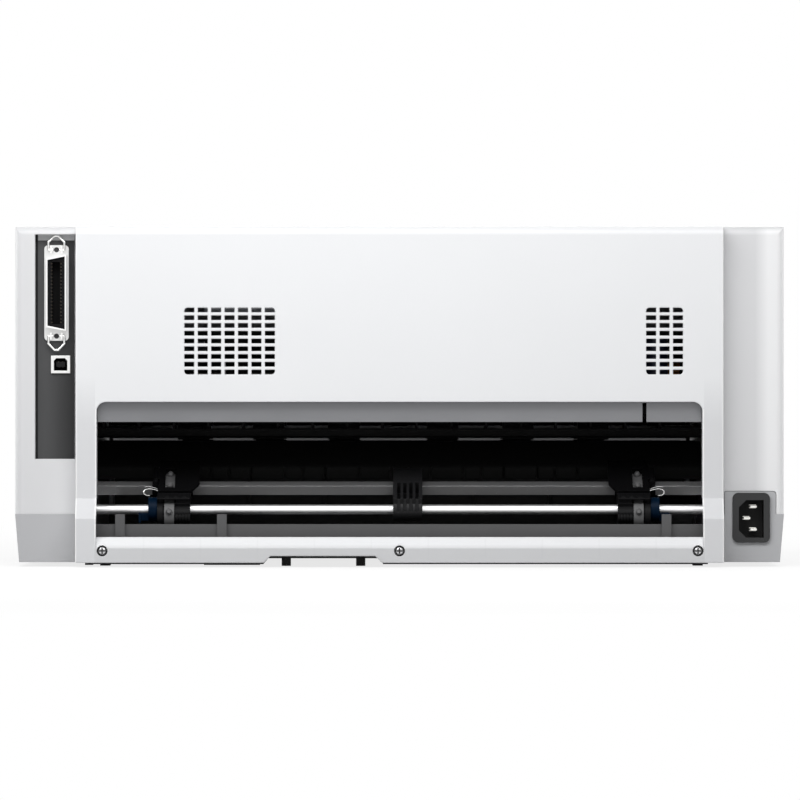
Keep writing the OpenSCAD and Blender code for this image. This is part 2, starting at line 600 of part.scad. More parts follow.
module rod_between(a, b, d) {
    v = b - a;
    translate(a) rotate([0, acos(v[2] / norm(v)), atan2(v[1], v[0])]) cylinder(h = norm(v), d = d, $fn = 20);
    translate(a) sphere(d = d * 1.06, $fn = 20);
    translate(b) sphere(d = d * 1.06, $fn = 20);
}
module bail_upper() { bail(1); }
module bail_lower() { bail(-1); }
module usb_port() translate([usb_c[0], panel_y, usb_c[1]]) {
    color("silver") difference() {
        along_y(-15, 1.6) square([12, 11], center = true);
        along_y(-13, 3) polygon([[-4.2, -3.9], [4.2, -3.9], [4.2, 2.3], [2.7, 3.9], [-2.7, 3.9], [-4.2, 2.3]]);
    }
    color("black") along_y(-13.5, 0.2) square([5.6, 3.2], center = true);
}
PIN_AT = [[-1.6, 6.85], [2.5, -0.35], [-1.6, -7.45]];
module power_inlet() color("black") translate([inlet_c[0], side_y, inlet_c[1]]) {
    difference() {
        union() {
            along_y(0, 2) round_rect(inlet_w, inlet_h, 3.7);
            along_y(-22, 0.5) round_rect(inlet_w - 4.2, inlet_h - 4.2, 1.5);
        }
        along_y(-15, 3) translate([-0.05, -0.75]) polygon([[-7.75, -11.7], [3.2, -11.7], [7.75, -7.2], [7.75, 7.2], [3.2, 11.7], [-7.75, 11.7]]);
    }
    for (p = PIN_AT) box([p[0] - 2, -15.5, p[1] - 0.6], [p[0] + 2, -1.5, p[1] + 0.6]);
    for (p = PIN_AT) box([p[0] - 2.4, -28, p[1] - 0.4], [p[0] + 2.4, -21.5, p[1] + 0.4]);
}
module interface_panel() color("dimgray") difference() {
    union() {
        box([cover_half + 1.6, panel_y - panel_t, bay_z[0] - 2], [bay_x[1] + 2, panel_y, bay_z[1] + 1.5]);
        box([cover_half + 4, panel_y - 12, bay_z[0] - 2], [bay_x[1] + 2, panel_y - panel_t + eps, bay_z[0] - 0.8]);
    }
    translate([port_c[0], 0, port_c[1]]) along_y(panel_y - 3, panel_y + 1) d_outline(13.8, 48.2, 2.2);
    translate([usb_c[0], 0, usb_c[1]]) along_y(panel_y - 3, panel_y + 1) square([12.2, 11.2], center = true);
}

pulley_x = frame_in - 20.2;
pulley_r = 8;
shield_x = frame_out - 0.5;
shield_front_y = 72;
shield_back_y = face_y - 7;
ear_x = frame_in - 34.5;
ear_y = 36;
BOARD_Y = [shield_front_y + 10, shield_back_y - 8];
board_z = deck_z + shield_t + 7;
MAIN_X = [-58, 186];
POWER_X = [-186, -70];
module standoffs(xs) {
    for (x = [xs[0] + 6, xs[1] - 6]) for (y = [BOARD_Y[0] + 6, BOARD_Y[1] - 6])
        translate([x, y, deck_z + shield_t - 0.2]) cylinder(h = board_z - deck_z - shield_t + 0.2, d = 6, $fn = 24);
}
module shield_plate() color("gray") difference() {
    union() {
        box([-shield_x, shield_front_y, deck_z], [shield_x, shield_back_y, deck_z + shield_t]);
        both_sides() box([ear_x, ear_y, deck_z], [shield_x, shield_front_y + 1, deck_z + shield_t]);
        box([0.3 - open_w / 2, shield_back_y - shield_t, open_top - 12.5], [open_w / 2 - 0.3, shield_back_y, deck_z + shield_t]);
        standoffs(MAIN_X);
        standoffs(POWER_X);
        translate([pulley_x, belt_c[0], belt_c[1] - 1]) cylinder(h = deck_z - belt_c[1] + 1.2, d = 5, $fn = 32);
    }
    translate([-pulley_x, belt_c[0], deck_z - 1]) cylinder(h = 3, d = 8, $fn = 32);
    box([-154, shield_back_y - 2, open_top - 13], [-151.5, shield_back_y + 1, open_top - 0.6]);
}
module board(xs) {
    color("darkgreen") box([xs[0], BOARD_Y[0], board_z], [xs[1], BOARD_Y[1], board_z + 1.6]);
}
module chip(x, y, w, d, h) {
    box([x - w / 2, y - d / 2, board_z + 1.5], [x + w / 2, y + d / 2, board_z + 1.6 + h]);
}
module main_board() {
    board(MAIN_X);
    ym = (BOARD_Y[0] + BOARD_Y[1]) / 2;
    color("black") {
        chip(40, ym, 28, 28, 2.4);
        for (k = [0:3]) chip(-40 + k * 16, ym + 14, 11, 18, 1.8);
        for (k = [0:2]) chip(80 + k * 22, ym - 14, 14, 20, 1.8);
    }
    color("ivory") for (k = [0:4]) chip(-30 + k * 38, BOARD_Y[0] + 6, 22, 6, 8);
    color("silver") for (k = [0:5]) chip(110 + k * 9, ym + 18, 2, 16, 16);
    color("silver") chip(132.5, ym + 18, 50, 14, 3);
}
module power_board() {
    board(POWER_X);
    ym = (BOARD_Y[0] + BOARD_Y[1]) / 2;
    color("gold") chip(-120, ym, 34, 30, 26);
    color("black") for (k = [0:1]) translate([-160 + k * 20, ym + 14, board_z + 1.5]) cylinder(h = 30, d = 17, $fn = 40);
    color("silver") {
        for (k = [0:6]) chip(-90 + k * 3.2, ym, 1.4, 40, 24);
        chip(-80.4, ym, 20.6, 40, 4);
    }
    color("orange") chip(-168, ym - 18, 18, 12, 14);
}

// ---- Side frames, shafts and motors ----

head_z = rod_c[1] + 14;
FRAME = [[-112, floor_z], [guide_c[0] + 16, floor_z], [guide_c[0] + 16, deck_z], [rod_c[0] + 9, deck_z], [rod_c[0] + 9, head_z],
    [-46, head_z], [-50, 95], [-112, 95]];
module side_frame() color("silver") difference() {
    union() {
        along_x(frame_in, frame_out) polygon(FRAME);
        along_x(frame_in - 12, frame_in + eps) polygon([[-106, floor_z], [guide_c[0] + 6, floor_z], [guide_c[0] + 6, floor_z + 2], [-106, floor_z + 2]]);
    }
    for (c = [feed_rear_c, feed_front_c, [feed_y, pinch_z], [-feed_y, pinch_z], drive_c])
        bar_x(frame_in - 1, frame_out + 1, c, journal_d + 2 * run_gap);
    bar_x(frame_in - 1, frame_out + 1, guide_c, guide_d);
    bar_x(frame_in - 1, frame_out + 1, rod_c, rod_d);
    for (y = [-80, -10, 100]) translate([frame_in - 6, y, floor_z - 1]) cylinder(h = 5, d = 4, $fn = 24);
}
module stud(c, x1) {
    mirror([1, 0, 0]) bar_x(frame_out - 0.5, x1, c, journal_d);
}
stud_x = gear_x + gear_w + 0.3;
module frame_left() {
    difference() {
        mirror([1, 0, 0]) side_frame();
        mirror([1, 0, 0]) bar_x(frame_in - 1, frame_out + 1, motor_c, 12);
    }
    color("silver") for (c = [idler_rear_c, idler_middle_c]) stud(c, stud_x);
}
// The stay that ties the frames together behind the tractors, with three posts on its rear face
POST_X = [174.3, 110.8, -166.5];
stay_top = 26.3;
post_top = 32.5;
stay_y = case_y - 9;
module frame_right() {
    side_frame();
    color("dimgray") {
        along_x(-frame_in, frame_in + 0.5) polygon([[stay_y - 8, stay_top - 12.3], [stay_y, stay_top - 12.3],
            [stay_y, stay_top], [stay_y - 1.4, stay_top], [stay_y - 1.4, stay_top - 10.9], [stay_y - 8, stay_top - 10.9]]);
        for (x = POST_X) box([x - 3, stay_y - eps, stay_top - 12.3], [x + 3, stay_y + 3, post_top]);
    }
}
motor_l = 24;
module feed_motor() color("dimgray") difference() {
    union() {
        bar_x(-frame_in, -frame_in + motor_l, motor_c, motor_d);
        along_x(-frame_in, -frame_in + 1.5) translate(motor_c) square([56, 14], center = true);
        bar_x(-frame_in - 1.4, -frame_in + 2, motor_c, 11.4);
    }
    bar_x(-frame_in - 5, -frame_in + 12, motor_c, 3.3);
}
module carriage_motor() color("dimgray") translate([-pulley_x, belt_c[0], deck_z + shield_t]) difference() {
    union() {
        cylinder(h = 32, d = 30, $fn = 64);
        linear_extrude(2) square([24, 31], center = true);
        translate([0, 0, 32 - eps]) cylinder(h = 3, d = 12, $fn = 32);
    }
    translate([0, 0, -1]) cylinder(h = 12, d = 3.3, $fn = 24);
}
module pulley_motor() color("white") translate([-pulley_x, belt_c[0], 0]) {
    translate([0, 0, belt_c[1] - 0.4]) cylinder(h = 6.8, r = pulley_r - 0.15, $fn = 48);
    for (z = [belt_c[1] - 1.4, belt_c[1] + 6.3]) translate([0, 0, z]) cylinder(h = 1, r = pulley_r + 2, $fn = 48);
    translate([0, 0, belt_c[1]]) cylinder(h = deck_z - belt_c[1] + 8, d = 3, $fn = 24);
}
module pulley_idler() color("white") translate([pulley_x, belt_c[0], 0]) difference() {
    union() {
        translate([0, 0, belt_c[1] - 0.4]) cylinder(h = 6.8, r = pulley_r - 0.15, $fn = 48);
        for (z = [belt_c[1] - 1.4, belt_c[1] + 6.3]) translate([0, 0, z]) cylinder(h = 1, r = pulley_r + 2, $fn = 48);
    }
    translate([0, 0, belt_c[1] - 2]) cylinder(h = 12, d = 5 + 2 * run_gap, $fn = 32);
}
module stadium_xy(x, y, r) {
    translate([-x, y]) circle(r, $fn = 64);
    translate([x, y]) circle(r, $fn = 64);
    translate([-x, y - r]) square([2 * x, 2 * r]);
}
module carriage_belt() color("black") translate([0, 0, belt_c[1]]) linear_extrude(6) difference() {
    stadium_xy(pulley_x, belt_c[0], pulley_r + belt_t);
    stadium_xy(pulley_x, belt_c[0], pulley_r);
}
module guide_shaft() color("silver") bar_x(-frame_out - 2, frame_out + 2, guide_c, guide_d);
module carriage_rod() color("silver") bar_x(-frame_out - 2, frame_out + 2, rod_c, rod_d);
RAIL_Y = [-44, -28];
rail_z = [rod_c[1] - 4, rod_c[1] + 8];
module carriage_rail() color("silver") {
    along_x(-frame_in, frame_in) polygon([[RAIL_Y[0], rail_z[0]], [RAIL_Y[0] + 1.6, rail_z[0]], [RAIL_Y[0] + 1.6, rail_z[1] - 1.6],
        [RAIL_Y[1], rail_z[1] - 1.6], [RAIL_Y[1], rail_z[1]], [RAIL_Y[0], rail_z[1]]]);
}

// ---- Gears and rollers ----

// One tooth: flanks of an involute with the given phase, as a gear outline
pressure_a = 20;
function involute_a(r, rb) = let (t = sqrt(max(r * r / (rb * rb) - 1, 0))) t * 180 / PI - atan(t);
function tooth(teeth, a) =
    let (rp = pitch_r(teeth), rb = rp * cos(pressure_a), ra = rp + gear_m, rf = rp - 1.25 * gear_m, r0 = max(rb, rf),
         half = 90 / teeth - tooth_thin / rp * 90 / PI, zero = involute_a(rp, rb),
         rs = [for (i = [0:3]) r0 + (ra - r0) * i / 3],
         flank = [for (r = rs) [r, half + zero - involute_a(r, rb)]])
    concat([rf * [cos(a - half - zero), sin(a - half - zero)]],
        [for (f = flank) f[0] * [cos(a - f[1]), sin(a - f[1])]],
        [for (f = reversed(flank)) f[0] * [cos(a + f[1]), sin(a + f[1])]],
        [rf * [cos(a + half + zero), sin(a + half + zero)]]);
module gear_2d(teeth, phase) {
    polygon([for (k = [0:teeth - 1]) each tooth(teeth, phase + 360 * k / teeth)]);
}
// A gear on the outer side of the left frame; c is its [Y, Z] centre
module gear(c, teeth, phase, bore = 0) {
    difference() {
        along_x(-gear_x - gear_w, -gear_x) translate(c) gear_2d(teeth, phase);
        if (teeth > 40) along_x(-gear_x - gear_w - 1, -gear_x + 1) translate(c) for (a = [0:60:300])
            rotate(a) translate([pitch_r(teeth) * 0.58, 0]) circle(d = pitch_r(teeth) * 0.42, $fn = 40);
        if (bore > 0) bar_x(-gear_x - gear_w - 1, -gear_x + 1, c, bore);
    }
}
module roller_shaft(c, d, x0) {
    color("silver") bar_x(-x0, frame_out + 1.5, c, journal_d);
    color("black") for (x = ROLLER_X) bar_x(x - roller_l / 2, x + roller_l / 2, c, d, 64);
}
module feed_roller_rear() {
    roller_shaft(feed_rear_c, feed_d, stud_x);
    gear(feed_rear_c, feed_teeth, rear_feed_phase);
}
module feed_roller_front() {
    roller_shaft(feed_front_c, feed_d, stud_x);
    gear(feed_front_c, feed_teeth, front_feed_phase);
}
module pinch_roller_rear() { roller_shaft([feed_y, pinch_z], pinch_d, frame_out + 0.3); }
module pinch_roller_front() { roller_shaft([-feed_y, pinch_z], pinch_d, frame_out + 0.3); }
module idler_rear() color("ivory") gear(idler_rear_c, idler_rear_n, rear_idler_phase, journal_d + 2 * run_gap);
module idler_middle() color("ivory") gear(idler_middle_c, idler_middle_n, middle_phase, journal_d + 2 * run_gap);
module motor_pinion() color("gold") {
    gear(motor_c, pinion_teeth, pinion_phase);
    bar_x(-gear_x - 0.5, -frame_in + 11, motor_c, 3);
}
module drive_shaft() color("silver") {
    along_x(-frame_in + 0.5, frame_in - 0.5) translate(drive_c) rotate(-tractor_tilt) square(drive_af, center = true);
    bar_x(-stud_x, -frame_in + 1, drive_c, journal_d);
    bar_x(frame_in - 1, frame_out + 1.5, drive_c, journal_d);
    gear(drive_c, drive_teeth, drive_phase);
}
// A polymer bar under the print line, held between the side frames
module platen() color("dimgray") {
    along_x(1.3 - frame_in, frame_in - 1.3) polygon(concat([[-8, path_z - 14], [8, path_z - 14]],
        arc([6, path_z - 2.3], 2, 0, 90, 3), arc([-6, path_z - 2.3], 2, 90, 180, 3)));
    box([-frame_in, -6, path_z - 14], [frame_in, 6, path_z - 7]);
}

// ---- Paper guides ----

guide_t = 1.5;
lip_y = 97;
LIP_START = [119.4, 72.6, 5.8, -40.7, -87.2];
LIP_STEP = [0, 11.4, 25.4];
lip_x = concat([153, 25.6], [for (s = LIP_START) for (d = LIP_STEP) s - d]);
LOWER_PATH = concat([[lip_y, 53.7]], arc([lip_y - 3, 60], 3, 0, 60, 4), [[feed_y + 14, path_z - 0.9], [-feed_y - 33, path_z - 0.9]]);
module roller_windows(c, d) {
    for (s = [-1, 1]) for (x = ROLLER_X) box([x - roller_l / 2 - 1.5, s * c[0] - d / 2 - 1, c[1] - d], [x + roller_l / 2 + 1.5, s * c[0] + d / 2 + 1, c[1] + d]);
}
module paper_guide_lower() color("black") difference() {
    union() {
        along_x(-frame_in, frame_in) polygon(skin(LOWER_PATH, guide_t));
        for (x = [for (k = [-8:8]) k * 22]) along_x(x - 0.8, x + 0.8) polygon([[lip_y - 1, 54], [lip_y - 1, 61], [feed_y + 14, path_z - 2],
            [feed_y + 14, path_z - 5], [lip_y - 12, 54]]);
    }
    for (x = lip_x) box([x - 0.9, lip_y - 4, 52], [x + 0.9, lip_y + 1, 61.5]);
    roller_windows(feed_rear_c, feed_d);
    box([-frame_in + 1, -9, path_z - 6], [frame_in - 1, 9, path_z + 1]);
    for (s = [-1, 1]) box([-frame_in - 1, s * feed_y - 4, feed_z - 4], [frame_in + 1, s * feed_y + 4, path_z - 1.2]);
}
UPPER_REAR = concat([[lip_y + 8, path_z + 6.5], [lip_y + 2, path_z + 3.2]], [[feed_y + 16, path_z + 1.8], [13, path_z + 1.8]]);
module paper_guide_upper() color("black") difference() {
    union() {
        along_x(-frame_in, frame_in) polygon(skin(UPPER_REAR, -guide_t));
        along_x(-frame_in, frame_in) polygon(skin([[-13, path_z + 1.8], [-feed_y - 16, path_z + 1.8], [-feed_y - 26, path_z + 6]], -guide_t));
        for (x = [for (k = [-8:8]) k * 22 + 11]) along_x(x - 0.8, x + 0.8) polygon([[lip_y + 4, path_z + 5.5], [feed_y + 16, path_z + 3], [feed_y + 16, path_z + 9],
            [lip_y + 4, path_z + 12]]);
        both_sides() along_x(frame_in - 8, frame_in) polygon([[13, path_z + 2], [-13, path_z + 2], [-13, path_z + 4.5], [13, path_z + 4.5]]);
    }
    roller_windows([feed_y, pinch_z], pinch_d);
    for (s = [-1, 1]) box([-frame_in - 1, s * feed_y - 4, path_z + 2], [frame_in + 1, s * feed_y + 4, pinch_z + 4]);
}

// ---- Tractors ----
// Each is drawn with its belt at X = 0 and its outer side towards +X

module tilted(c = nose_c, a = belt_a) {
    translate(c) rotate(180 - a) mirror([0, 1]) children();
}
// An outline in X and the distance down the belt's slope, carried along the slope's normal
module across_tilt(n0, n1) {
    translate([0, on_tilt(0, n0)[0], on_tilt(0, n0)[1]]) rotate([-belt_a, 0, 0]) linear_extrude(n1 - n0) children();
}
module stadium(r, x0 = 0, x1 = belt_span) {
    translate([x0, 0]) circle(r, $fn = 64);
    translate([x1, 0]) circle(r, $fn = 64);
    translate([x0, -r]) square([x1 - x0, 2 * r]);
}
belt_x = [-belt_w / 2, belt_w / 2];
plate_x = [belt_x[1] + side_gap + 0.4, belt_x[1] + side_gap + 0.4 + plate_t];
block_x = [belt_x[0] - side_gap - block_w, belt_x[0] - side_gap];
hub_d = 11;
foot_n = belt_out + 5;
FOOT_S = [4, belt_span + 4];
rib_step = 1.9;
module tractor() color("black") difference() {
    union() {
        along_x(plate_x[0], plate_x[1]) tilted() {
            stadium(belt_out + 0.2);
            translate([2, 4]) square([belt_span + 8, belt_out - 3]);
        }
        along_x(block_x[1] - eps, plate_x[0] + eps) tilted() {
            circle(belt_in - 0.3, $fn = 64);
            translate([0, 0.5 - belt_in]) square([belt_span - belt_pr - 2, 2 * belt_in - 1]);
        }
        along_x(block_x[0], block_x[1]) tilted() {
            stadium(belt_in - 0.2);
            translate([-2, 0]) square([belt_span + 8, belt_out + 0.9]);
        }
        for (s = FOOT_S) {
            along_x(block_x[0], plate_x[1]) tilted() translate([s, -foot_n]) square([4, 1.6]);
            for (x = [block_x, plate_x]) along_x(x[0], x[1]) tilted() translate([s, -foot_n])
                square([4, foot_n - belt_in + 2]);
        }
        // Ribbed grip behind the nose
        bar_x(block_x[0], block_x[1], nose_c + [6, -1.8], 5.6);
        for (k = [0:4]) bar_x(block_x[0] + k * rib_step, block_x[0] + k * rib_step + 1.1, nose_c + [6, -1.8], 7.2);
    }
    bar_x(block_x[0] - 1, plate_x[1] + 1, guide_c, guide_d + 2 * run_gap);
    bar_x(block_x[0] - 1, plate_x[1] + 1, drive_c, hub_d + 2 * run_gap);
}
module sprocket() color("dimgray") difference() {
    union() {
        difference() {
            bar_x(belt_x[0] - side_gap + 0.15, plate_x[0] - 0.15, drive_c, 2 * (belt_in - 0.3), 64);
            for (k = [0:7]) translate([0, drive_c[0], drive_c[1]]) rotate([k * 45, 0, 0])
                bar_x(-20, 20, [belt_in - 0.1, 0], 3.2);
        }
        bar_x(block_x[0] - 1, plate_x[1] + 4, drive_c, hub_d);
    }
    along_x(block_x[0] - 2, plate_x[1] + 6) translate(drive_c) rotate(-tractor_tilt)
        square(drive_af + 0.2, center = true);
}
// Place and outward direction at a distance s along the belt, from the foot of its top run
function belt_at(s) =
    let (l = PI * belt_pr, top = belt_span, turn = belt_span + l, back = 2 * belt_span + l)
    s < top ? [s, belt_pr, 90] :
    s < turn ? let (a = 90 - (s - top) / belt_pr * 180 / PI) [belt_span + belt_pr * cos(a), belt_pr * sin(a), a] :
    s < back ? [back - s, -belt_pr, -90] :
    let (a = -90 - (s - back) / belt_pr * 180 / PI) [belt_pr * cos(a), belt_pr * sin(a), a];
module pin_belt() color("lightgray") {
    along_x(belt_x[0], belt_x[1]) tilted() difference() {
        stadium(belt_out);
        stadium(belt_in);
    }
    for (k = [0:pin_count - 1]) let (p = belt_at(6 + k * pin_pitch), q = on_tilt(p[0], p[1]),
        d = cos(p[2]) * tilt_s + sin(p[2]) * tilt_n)
        translate([0, q[0], q[1]]) rotate([-atan2(d[0], d[1]), 0, 0]) {
            cylinder(h = 1.9, d = 3.9, $fn = 24);
            translate([0, 0, 1.9]) cylinder(h = pin_h + belt_t / 2 - 1.9, d1 = 3.9, d2 = 2.2, $fn = 24);
        }
}
door_t = 2;
door_n = belt_out + pin_h - 1.3;
door_s = [8.7, 43.8];
door_x = [block_x[0] - 5.4, plate_x[1] + 0.6];
door_hinge_x = plate_x[1] + 1.6;
knuckle_s = [door_s[0] + 14, door_s[0] + 26];
knuckle_d = 3.4;
hinge_pin_d = 1.6;
module tractor_door() color("black") difference() {
    union() {
        across_tilt(door_n, door_n + door_t) {
            polygon([[door_x[0], -door_s[0] - 9], [door_x[0] + 5.4, -door_s[0]], [door_hinge_x - 2.4, -door_s[0]],
                [door_hinge_x - 2.4, -door_s[1]], [door_x[0], -door_s[1]]]);
            translate([door_hinge_x - 3, -knuckle_s[1]]) square([3, knuckle_s[1] - knuckle_s[0]]);
        }
        along_x(door_x[0], door_x[0] + 1.6) tilted() polygon([[door_s[0] + 13, door_n - 2.2],
            [door_s[1] - 6, door_n - 2.2], [door_s[1], door_n + 0.5], [door_s[0] + 9, door_n + 0.5]]);
        barrel(knuckle_s[0], knuckle_s[1], knuckle_d);
    }
    along_x(belt_x[0] - 0.4, belt_x[1] + 0.4) tilted() translate([door_s[0] + 4, door_n - 5])
        square([door_s[1] - door_s[0] - 13, 12]);
    barrel(door_s[0] - 5, door_s[1] + 5, hinge_pin_d + 2 * run_gap);
}
// A round bar down the slope at the door's hinge line
module barrel(s0, s1, d) {
    p = on_tilt(s0, door_n + door_t / 2);
    translate([door_hinge_x, p[0], p[1]]) rotate([90 - belt_a, 0, 0]) cylinder(h = s1 - s0, d = d, $fn = 24);
}
module tractor_with_pins() {
    tractor();
    color("black") {
        for (s = [knuckle_s[0] - 3.5, knuckle_s[1] + 0.5]) {
            barrel(s, s + 3, knuckle_d);
            along_x(plate_x[0], door_hinge_x) tilted() translate([s, door_n - 3]) square([3, 2.9]);
        }
        barrel(knuckle_s[0] - 3, knuckle_s[1] + 3, hinge_pin_d);
    }
}
module lock_lever() color("navy") difference() {
    union() {
        bar_x(plate_x[1] + 0.15, plate_x[1] + 5.6, guide_c, 15);
        along_x(plate_x[1] + 1, plate_x[1] + 11.7) translate(guide_c) polygon([[-3, -7], [3, -7], [4, -2.2], [-4, -2.2]]);
        along_x(plate_x[1] + 10.4, plate_x[1] + 11.7) translate(guide_c) polygon([[-4, -8.2], [4, -8.2], [4, -1], [-4, -1]]);
    }
    bar_x(plate_x[1] - 1, plate_x[1] + 7, guide_c, guide_d + 2 * run_gap);
    bar_x(plate_x[1] + 5.6, plate_x[1] + 13, guide_c, guide_d + 3);
}
module at_right() { translate([tractor_right_x, 0, 0]) children(); }
module at_left() { translate([tractor_left_x, 0, 0]) mirror([1, 0, 0]) children(); }
module tractor_right() { at_right() tractor_with_pins(); }
module tractor_left() { at_left() tractor_with_pins(); }
module sprocket_right() { at_right() sprocket(); }
module sprocket_left() { at_left() sprocket(); }
module pin_belt_right() { at_right() pin_belt(); }
module pin_belt_left() { at_left() pin_belt(); }
module tractor_door_right() { at_right() tractor_door(); }
module tractor_door_left() { at_left() tractor_door(); }
module lock_lever_right() { at_right() lock_lever(); }
module lock_lever_left() { at_left() lock_lever(); }

support_x = [-14.3, 4];
module sheet_support() color("black") difference() {
    along_x(support_x[0], support_x[1]) tilted(guide_c, tractor_tilt) {
        stadium(7.2, 0, shaft_span + 2);
        translate([-4, 0]) square([shaft_span + 12, belt_out + 0.9]);
    }
    bar_x(support_x[0] - 1, support_x[1] + 1, guide_c, guide_d + 2 * run_gap);
    bar_x(support_x[0] - 1, support_x[1] + 1, drive_c, drive_af * sqrt(2) + 0.8);
    for (k = [0:3]) along_x(support_x[0] + 2.3 + k * 3.8, support_x[0] + 4.4 + k * 3.8)
        tilted(guide_c, tractor_tilt) translate([-20, 2]) square([38, 20]);
}

// ---- Print mechanism ----

carriage_w = 40;
plate_top = rail_z[1] + 4.4;
module carriage() color("dimgray") difference() {
    union() {
        bar_x(-carriage_w / 2, carriage_w / 2, rod_c, rod_d + 7, 64);
        box([-carriage_w / 2, RAIL_Y[0] - 2.4, rail_z[1] + 0.4], [carriage_w / 2, rod_c[0] + 4, plate_top]);
        box([-carriage_w / 2, RAIL_Y[0] - 2.4, rail_z[0] + 3], [carriage_w / 2, RAIL_Y[0] - 0.4, plate_top - 1]);
        box([-11, rod_c[0] + 6, belt_c[1] - 3.4], [11, belt_c[0] - pulley_r - belt_t - 0.3, belt_c[1] + 8]);
        box([-11, rod_c[0] + 8, belt_c[1] - 3.4], [11, belt_c[0] - pulley_r + 3, belt_c[1] - 1]);
        box([-11, belt_c[0] - pulley_r + 0.3, belt_c[1] - 3.4], [11, belt_c[0] - pulley_r + 3, belt_c[1] + 5]);
    }
    bar_x(-carriage_w, carriage_w, rod_c, rod_d + 2 * run_gap, 64);
    box([-13, -14, rail_z[1]], [13, 12, plate_top + 1]);
    for (x = [-16, 16]) for (y = [-20, 10]) translate([x, y, rail_z[1] - 1]) cylinder(h = 8, d = 3, $fn = 24);
}
head_top = 152;
module print_head() color("gray") {
    box([-18, -22, plate_top], [18, 14, plate_top + 3]);
    difference() {
        union() {
            translate([0, -1, plate_top - 1]) cylinder(h = head_top - 12 - plate_top, d = 25, $fn = 48);
            for (z = [plate_top + 6:4:head_top - 8]) translate([-20, -23, z]) cube([40, 42, 1.8]);
            box([-12, -13, plate_top - 6], [12, 11, plate_top + 1]);
            box([-9, -8, path_z + 12], [9, 7, plate_top]);
            translate([0, 0, path_z + 2.6]) along_x(-5, 5) polygon([[-3, 0], [3, 0], [6, 9.5], [-6, 9.5]]);
        }
        box([-3, -30, plate_top + 8], [3, -18, head_top]);
    }
    translate([-10, 12, head_top - 14]) cube([20, 8, 8]);
}
cart_z = [95, 114];
module ribbon_cartridge() {
    color("black") difference() {
        union() {
            along_x(-156, 156) polygon([[-98, cart_z[0]], [-52, cart_z[0]], [-52, cart_z[1] - 3], [-55, cart_z[1]], [-94, cart_z[1]], [-98, cart_z[1] - 4]]);
            both_sides() {
                box([150, -90, cart_z[0]], [frame_out + 1.5, -62, cart_z[0] + 5]);
                along_x(160, 170) polygon([[-64, cart_z[0]], [-48, path_z + 14], [-12, path_z + 14], [-12, path_z + 3.9], [8, path_z + 3.9], [8, path_z + 8],
                    [4, path_z + 20], [-48, path_z + 20], [-64, cart_z[0] + 5]]);
            }
        }
        for (k = [0:5]) box([-120 + k * 12, -90, cart_z[1] - 0.8], [-114 + k * 12, -60, cart_z[1] + 1]);
        translate([-140, -75, cart_z[0] - 1]) cylinder(h = 30, d = 6 + 2 * run_gap, $fn = 32);
        translate([60, -75, cart_z[1] - 1.2]) cylinder(h = 3, d = 34, $fn = 64);
    }
    color("black") box([-171, -6, path_z + 2.2], [171, 6.5, path_z + 2.45]);
    color("black") both_sides() box([168, -6, path_z + 2.3], [171, 6.5, path_z + 4.5]);
}
module ribbon_knob() color("gray") translate([-140, -75, 0]) {
    translate([0, 0, cart_z[1] - 10]) cylinder(h = 12, d = 6, $fn = 32);
    translate([0, 0, cart_z[1] + 0.6]) linear_extrude(7) difference() {
        circle(9, $fn = 64);
        for (k = [0:11]) rotate(k * 30) translate([9.4, 0]) circle(1.2, $fn = 20);
    }
}

lower_case();
base_plate();
rubber_feet();
rear_cover();
rear_screws();
side_housing_left();
side_housing_right();
front_bezel();
paper_table();
interface_panel();
parallel_port();
bail_upper();
bail_lower();
usb_port();
power_inlet();
shield_plate();
main_board();
power_board();
frame_left();
frame_right();
feed_motor();
carriage_motor();
paper_guide_lower();
paper_guide_upper();
platen();
guide_shaft();
carriage_rod();
carriage_rail();
carriage_belt();
pulley_motor();
pulley_idler();
feed_roller_rear();
feed_roller_front();
pinch_roller_rear();
pinch_roller_front();
idler_rear();
idler_middle();
motor_pinion();
drive_shaft();
sprocket_left();
sprocket_right();
pin_belt_left();
pin_belt_right();
tractor_left();
tractor_right();
tractor_door_left();
tractor_door_right();
lock_lever_left();
lock_lever_right();
sheet_support();
carriage();
print_head();
ribbon_cartridge();
ribbon_knob();
top_cover();
cover_window();
key_left();
key_middle();
key_right();
power_switch();
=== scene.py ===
"""Flatbed dot matrix printer seen from behind: finishes, small trim, light and camera."""
import math

import bmesh
import bpy
from mathutils import Matrix, Vector


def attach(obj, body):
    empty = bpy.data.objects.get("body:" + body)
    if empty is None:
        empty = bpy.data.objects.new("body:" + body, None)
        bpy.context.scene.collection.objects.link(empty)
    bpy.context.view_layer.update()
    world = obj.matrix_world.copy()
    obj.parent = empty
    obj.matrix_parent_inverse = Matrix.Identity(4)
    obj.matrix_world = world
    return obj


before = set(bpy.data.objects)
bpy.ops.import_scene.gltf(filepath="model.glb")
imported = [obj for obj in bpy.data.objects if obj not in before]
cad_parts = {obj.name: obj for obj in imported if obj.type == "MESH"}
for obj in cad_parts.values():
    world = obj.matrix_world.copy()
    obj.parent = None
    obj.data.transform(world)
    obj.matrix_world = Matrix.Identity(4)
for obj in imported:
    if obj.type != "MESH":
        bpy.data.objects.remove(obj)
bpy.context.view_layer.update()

MM = 0.001


# ---- Shader maths ----


